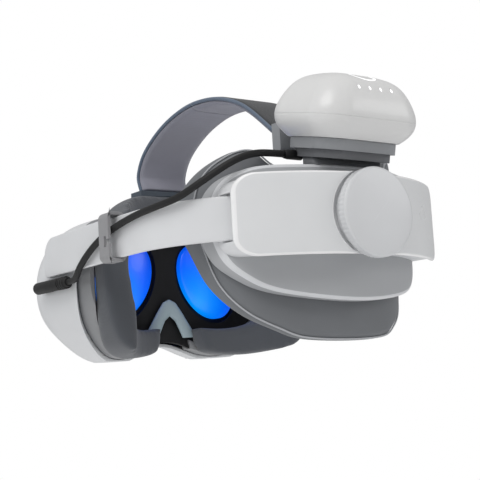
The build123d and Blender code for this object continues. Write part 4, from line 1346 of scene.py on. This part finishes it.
@dataclass
class TopStrap:
    """Padded strap over the head: woven outer skin, knitted pad and bound edges."""

    shop: Workshop
    half_width: float = 21.0
    skin: float = 2.0
    pad: float = 4.0
    split: int = 44

    def build(self) -> None:
        """Build both halves of the strap, front and rear."""
        line = self.arch()
        front = line[: self.split + 1]
        rear = line[self.split:]
        for name, part, bodies, start, end in (
            ("front", front, (Body.VISOR, Body.SIDES), (0, 0.094, 0.136), (0, 0.040, 0.172)),
            ("rear", rear, (Body.SIDES, Body.REAR), (0, 0.010, 0.174), (0, -0.066, 0.140)),
        ):
            layers = (
                ("strap_skin_", 0.0, self.skin, self.half_width - 0.5, 0.0, WEBBING, "strap_fabric", "top_strap"),
                (
                    "strap_pad_", self.skin - 0.1, self.skin + self.pad, self.half_width - 1.2, 1.2, KNIT,
                    "pad_fabric", "top_strap_pad",
                ),
            )
            for prefix, near, far, half, crown, finish, slot, node in layers:
                made = self.ribbon(prefix + name, part, near, far, half, crown)
                self.shop.dress(made, finish)
                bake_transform(made)
                self.shop.name_slot(made, slot, node)
            for side, word in ((-1, "left"), (1, "right")):
                edge = [
                    Vector((side * (self.half_width - 0.9), point.x, point.y)) + self.inward(part, index) * 1.6
                    for index, point in enumerate(part)
                ]
                made = self.shop.dress(tube(f"strap_binding_{name}_{word}", edge, 1.25, 12), BINDING)
                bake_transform(made)
                self.shop.name_slot(made, "strap_fabric")

    def arch(self) -> list[Vector]:
        """Smooth line of the strap's outer face as Y and Z, from the visor to the dock."""
        line = []
        for index in range(len(ARCH) - 1):
            before, here = ARCH[max(index - 1, 0)], ARCH[index]
            after, beyond = ARCH[index + 1], ARCH[min(index + 2, len(ARCH) - 1)]
            for step in range(10):
                t = step / 10
                line.append(Vector([
                    0.5 * (2 * b + (c - a) * t + (2 * a - 5 * b + 4 * c - d) * t * t + (3 * b - a - 3 * c + d) * t**3)
                    for a, b, c, d in zip(before, here, after, beyond)
                ]))
        line.append(Vector(ARCH[-1]))
        return line

    @staticmethod
    def inward(line: Sequence[Vector], index: int) -> Vector:
        """Direction from the strap's outer face towards the head."""
        along = (line[min(index + 1, len(line) - 1)] - line[max(index - 1, 0)]).normalized()
        return Vector((0.0, -along.y, along.x))

    def ribbon(
        self, name: str, line: Sequence[Vector], near: float, far: float, half: float, crown: float
    ) -> bpy.types.Object:
        """Layer of the strap with rounded edges.

        Args:
            name: the piece's name.
            line: the strap's outer line as Y and Z.
            near: depth of its outer face.
            far: depth of its inner face.
            half: half of its width.
            crown: how much it thins towards its edges.

        Returns:
            The new object.
        """
        rings, steps, radius = [], 14, (far - near) / 2
        for index, point in enumerate(line):
            inward = self.inward(line, index)
            ring = []
            for edge in (1, -1):
                for step in range(steps + 1):
                    share = edge * (1 - 2 * step / steps)
                    drop = crown * share**4
                    reach = half * share
                    depth = near + 0.0 * drop if edge > 0 else far - drop
                    round_in = max(0.0, abs(share) - 0.93) / 0.07 * radius * 0.6
                    depth += round_in if edge > 0 else -round_in
                    base = Vector((reach, point.x, point.y)) + inward * depth
                    ring.append(tuple(base))
            rings.append(ring)
        return rings_solid(name, rings)


ROUTE = [
    (-0.0360, -0.1000, 0.1126),
    (-0.0450, -0.1000, 0.1126),
    (-0.0560, -0.0994, 0.1120),
    (-0.0660, -0.0986, 0.1092),
    (-0.0750, -0.0964, 0.1046),
    (-0.0832, -0.0920, 0.0988),
    (-0.0904, -0.0854, 0.0930),
    (-0.0965, -0.0760, 0.0872),
    (-0.1015, -0.0620, 0.0846),
    (-0.1046, -0.0440, 0.0826),
    (-0.1050, -0.0240, 0.0800),
    (-0.1048, -0.0060, 0.0768),
    (-0.1047, 0.0110, 0.0716),
    (-0.1047, 0.0250, 0.0650),
    (-0.1036, 0.0370, 0.0586),
    (-0.1008, 0.0460, 0.0544),
    (-0.0986, 0.0550, 0.0530),
    (-0.0986, 0.0620, 0.0530),
]


@dataclass
class PowerLead:
    """Short lead from the dock to the visor's socket, with its gland, collar and plug."""

    shop: Workshop
    radius: float = 2.15
    clip_y: float = -8.0
    plug_rear: float = 73.0
    plug_front: float = 108.0
    plug_radius: float = 4.2

    def build(self) -> None:
        """Build the lead in two lengths that meet inside the clip, then its fittings."""
        line = self.line()
        middle = min(range(len(line)), key=lambda index: abs(line[index].y - self.clip_y) + 99 * (line[index].y < -60))
        rear, front = line[: middle + 1], line[middle:]
        collar, plug = self.collar(), self.plug()
        gland = self.gland()
        lengths = (
            ("lead_rear", rear, (Body.REAR, Body.SIDES), (-0.050, -0.100, 0.112), (-0.105, -0.020, 0.080), [gland]),
            (
                "lead_front", front, (Body.SIDES, Body.VISOR), (-0.105, 0.006, 0.073), (-0.099, 0.058, 0.053),
                [collar, plug],
            ),
        )
        for name, part, bodies, start, end, fittings in lengths:
            made = self.shop.dress(tube(name, part, self.radius), JACKET)
            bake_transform(made)
            self.shop.name_slot(made, "cable_black", "power_cable")

    def line(self) -> list[Vector]:
        """Smooth centreline of the lead in millimetres."""
        curve = bpy.data.curves.new("lead_route", "CURVE")
        curve.dimensions = "3D"
        spline = curve.splines.new("NURBS")
        spline.points.add(len(ROUTE) - 1)
        for point, place in zip(spline.points, ROUTE):
            point.co = (*place, 1.0)
        spline.order_u = 3
        spline.use_endpoint_u = True
        spline.resolution_u = 10
        holder = bpy.data.objects.new("lead_route", curve)
        bpy.context.scene.collection.objects.link(holder)
        graph = bpy.context.evaluated_depsgraph_get()
        mesh = bpy.data.meshes.new_from_object(holder.evaluated_get(graph))
        line = [vertex.co / MM for vertex in mesh.vertices]
        bpy.data.objects.remove(holder)
        bpy.data.curves.remove(curve)
        bpy.data.meshes.remove(mesh)
        return line

    def collar(self) -> bpy.types.Object:
        """Ribbed strain relief between the lead and the plug."""
        rear = ROUTE[-1][1] / MM
        profile = [(rear, 2.2), (rear, 3.0), (rear + 0.6, 3.3)]
        for step in range(3):
            base = rear + 2.3 + 2.9 * step
            profile += [(base, 3.4), (base + 0.4, 4.3), (base + 1.5, 4.3), (base + 1.9, 3.4)]
        profile += [(self.plug_rear - 0.2, 3.6), (self.plug_rear - 0.1, 2.2)]
        x, z = ROUTE[-1][0] / MM, ROUTE[-1][2] / MM
        made = self.shop.dress(turned("plug_relief", profile, (x, 0.0, z), Along.LENGTHWISE, 40), JACKET)
        return self.shop.settle(made, Body.VISOR, "cable_black", "plug_collar")

    def plug(self) -> bpy.types.Object:
        """Rounded plug that lies along the visor's side, with its tongue in the socket."""
        rear, front, radius = self.plug_rear, self.plug_front, self.plug_radius
        profile = [(rear, 0.3), (rear, radius - 0.8), (rear + 0.8, radius), (front - radius, radius)]
        for step in range(1, 9):
            angle = math.pi / 2 * step / 8
            profile.append((front - radius + radius * math.sin(angle), max(0.2, radius * math.cos(angle))))
        x, z = ROUTE[-1][0] / MM, ROUTE[-1][2] / MM
        made = self.shop.dress(turned("plug_body", profile, (x, 0.0, z), Along.LENGTHWISE, 48), JACKET)
        self.shop.paint_node("usb_plug", JACKET, 0.4)
        return self.shop.settle(made, Body.VISOR, "plug_black")

    def gland(self) -> bpy.types.Object:
        """Tapered sleeve where the lead leaves the dock."""
        x, y, z = (value / MM for value in ROUTE[0])
        profile = [(x + 12.9, 2.2), (x + 12.9, 3.0), (x + 3.0, 3.0), (x + 0.4, 2.6), (x, 2.4), (x, 2.2)]
        made = self.shop.dress(turned("lead_gland", profile, (0.0, y, z), Along.ACROSS, 40), JACKET)
        return self.shop.settle(made, Body.REAR, "cable_black", "cable_gland")


@dataclass
class Studio:
    """Pale floor, soft lights and the camera."""

    eye: Point3 = (-0.4500, -0.6211, -0.0238)
    heading: float = 35.97
    elevation: float = 7.39
    roll: float = -3.3
    lens: float = 85.05
    floor_z: float = -0.30
    floor_half_width: float = 1.4

    def build(self) -> None:
        """Set up the stage, the world, the lights and the camera."""
        self.floor()
        self.world()
        self.light("key", (-0.9, -0.6, 1.2), 0.9, 8.5, (1.0, 0.99, 0.98))
        self.light("front_fill", (-1.3, 0.6, 0.3), 0.8, 1.4, (0.95, 0.98, 1.0))
        self.light("rim", (0.9, -0.9, 0.5), 0.5, 1.6, (1.0, 1.0, 1.0))
        self.camera()

    def floor(self) -> None:
        """Pale floor far below the headset."""
        mesh = bpy.data.meshes.new("floor")
        size = self.floor_half_width
        corners = ((-size, -size), (size, -size), (size, size), (-size, size))
        mesh.from_pydata([(x, y, self.floor_z) for x, y in corners], [], [(0, 1, 2, 3)])
        made = bpy.data.objects.new("floor", mesh)
        bpy.context.scene.collection.objects.link(made)
        material = bpy.data.materials.new("floor_pale")
        material.use_nodes = True
        shader = material.node_tree.nodes["Principled BSDF"]
        shader.inputs["Base Color"].default_value = (0.9, 0.9, 0.9, 1.0)
        shader.inputs["Roughness"].default_value = 0.9
        shader.inputs["Emission Color"].default_value = (1.0, 1.0, 1.0, 1.0)
        shader.inputs["Emission Strength"].default_value = 0.12
        made.data.materials.append(material)

    def world(self) -> None:
        """White surroundings: plain to the camera, brighter from above for the lights."""
        world = bpy.data.worlds.new("studio")
        bpy.context.scene.world = world
        world.use_nodes = True
        nodes, links = world.node_tree.nodes, world.node_tree.links
        nodes.clear()
        out = nodes.new("ShaderNodeOutputWorld")
        plain, soft = nodes.new("ShaderNodeBackground"), nodes.new("ShaderNodeBackground")
        plain.inputs["Color"].default_value = (1.0, 1.0, 1.0, 1.0)
        plain.inputs["Strength"].default_value = 1.0
        place = nodes.new("ShaderNodeTexCoord")
        split = nodes.new("ShaderNodeSeparateXYZ")
        ramp = nodes.new("ShaderNodeValToRGB")
        ramp.color_ramp.elements[0].color = (0.30, 0.31, 0.33, 1.0)
        ramp.color_ramp.elements[1].color = (1.0, 1.0, 1.0, 1.0)
        share = nodes.new("ShaderNodeMapRange")
        share.inputs["From Min"].default_value = -1.0
        soft.inputs["Strength"].default_value = 0.62
        pick, mix = nodes.new("ShaderNodeLightPath"), nodes.new("ShaderNodeMixShader")
        links.new(place.outputs["Generated"], split.inputs["Vector"])
        links.new(split.outputs["Z"], share.inputs["Value"])
        links.new(share.outputs["Result"], ramp.inputs["Fac"])
        links.new(ramp.outputs["Color"], soft.inputs["Color"])
        links.new(pick.outputs["Is Camera Ray"], mix.inputs["Fac"])
        links.new(soft.outputs["Background"], mix.inputs[1])
        links.new(plain.outputs["Background"], mix.inputs[2])
        links.new(mix.outputs["Shader"], out.inputs["Surface"])

    def light(self, name: str, place: Point3, size: float, power: float, colour: Point3) -> None:
        """Add one soft area light aimed at the headset.

        Args:
            name: the light's name.
            place: its position in metres.
            size: width of its panel in metres.
            power: its power in watts.
            colour: its colour.
        """
        data = bpy.data.lights.new(name, "AREA")
        data.shape = "DISK"
        data.size = size
        data.energy = power
        data.color = colour
        made = bpy.data.objects.new(name, data)
        made.location = place
        aim = Vector((0.0, 0.0, 0.08)) - Vector(place)
        made.rotation_euler = aim.to_track_quat("-Z", "Y").to_euler()
        bpy.context.scene.collection.objects.link(made)

    def camera(self) -> None:
        """Place the camera below and behind the left side, looking slightly up."""
        heading, lift, roll = (math.radians(value) for value in (self.heading, self.elevation, self.roll))
        ahead = Vector((math.sin(heading) * math.cos(lift), math.cos(heading) * math.cos(lift), math.sin(lift)))
        right = Vector((math.cos(heading), -math.sin(heading), 0.0))
        up = right.cross(ahead)
        across = right * math.cos(roll) + up * math.sin(roll)
        above = up * math.cos(roll) - right * math.sin(roll)
        data = bpy.data.cameras.new("camera")
        data.lens = self.lens
        data.sensor_width = 36.0
        made = bpy.data.objects.new("camera", data)
        turn = Matrix((across, above, -ahead)).transposed().to_4x4()
        made.matrix_world = Matrix.Translation(self.eye) @ turn
        bpy.context.scene.collection.objects.link(made)
        bpy.context.scene.camera = made
        bpy.context.scene.view_settings.view_transform = "Standard"


def main() -> None:
    """Build the headset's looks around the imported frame."""
    logging.basicConfig(level=logging.INFO, format="%(message)s")
    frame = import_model()
    Studio().build()
    shop = Workshop(Finishes(), HaloCurve(), frame)
    for assembly in (PowerLead(shop), Visor(shop), Sides(shop), RearCradle(shop), BatteryDock(shop), TopStrap(shop)):
        assembly.build()
        LOG.info("%s done", type(assembly).__name__)


if __name__ == "__main__":
    main()
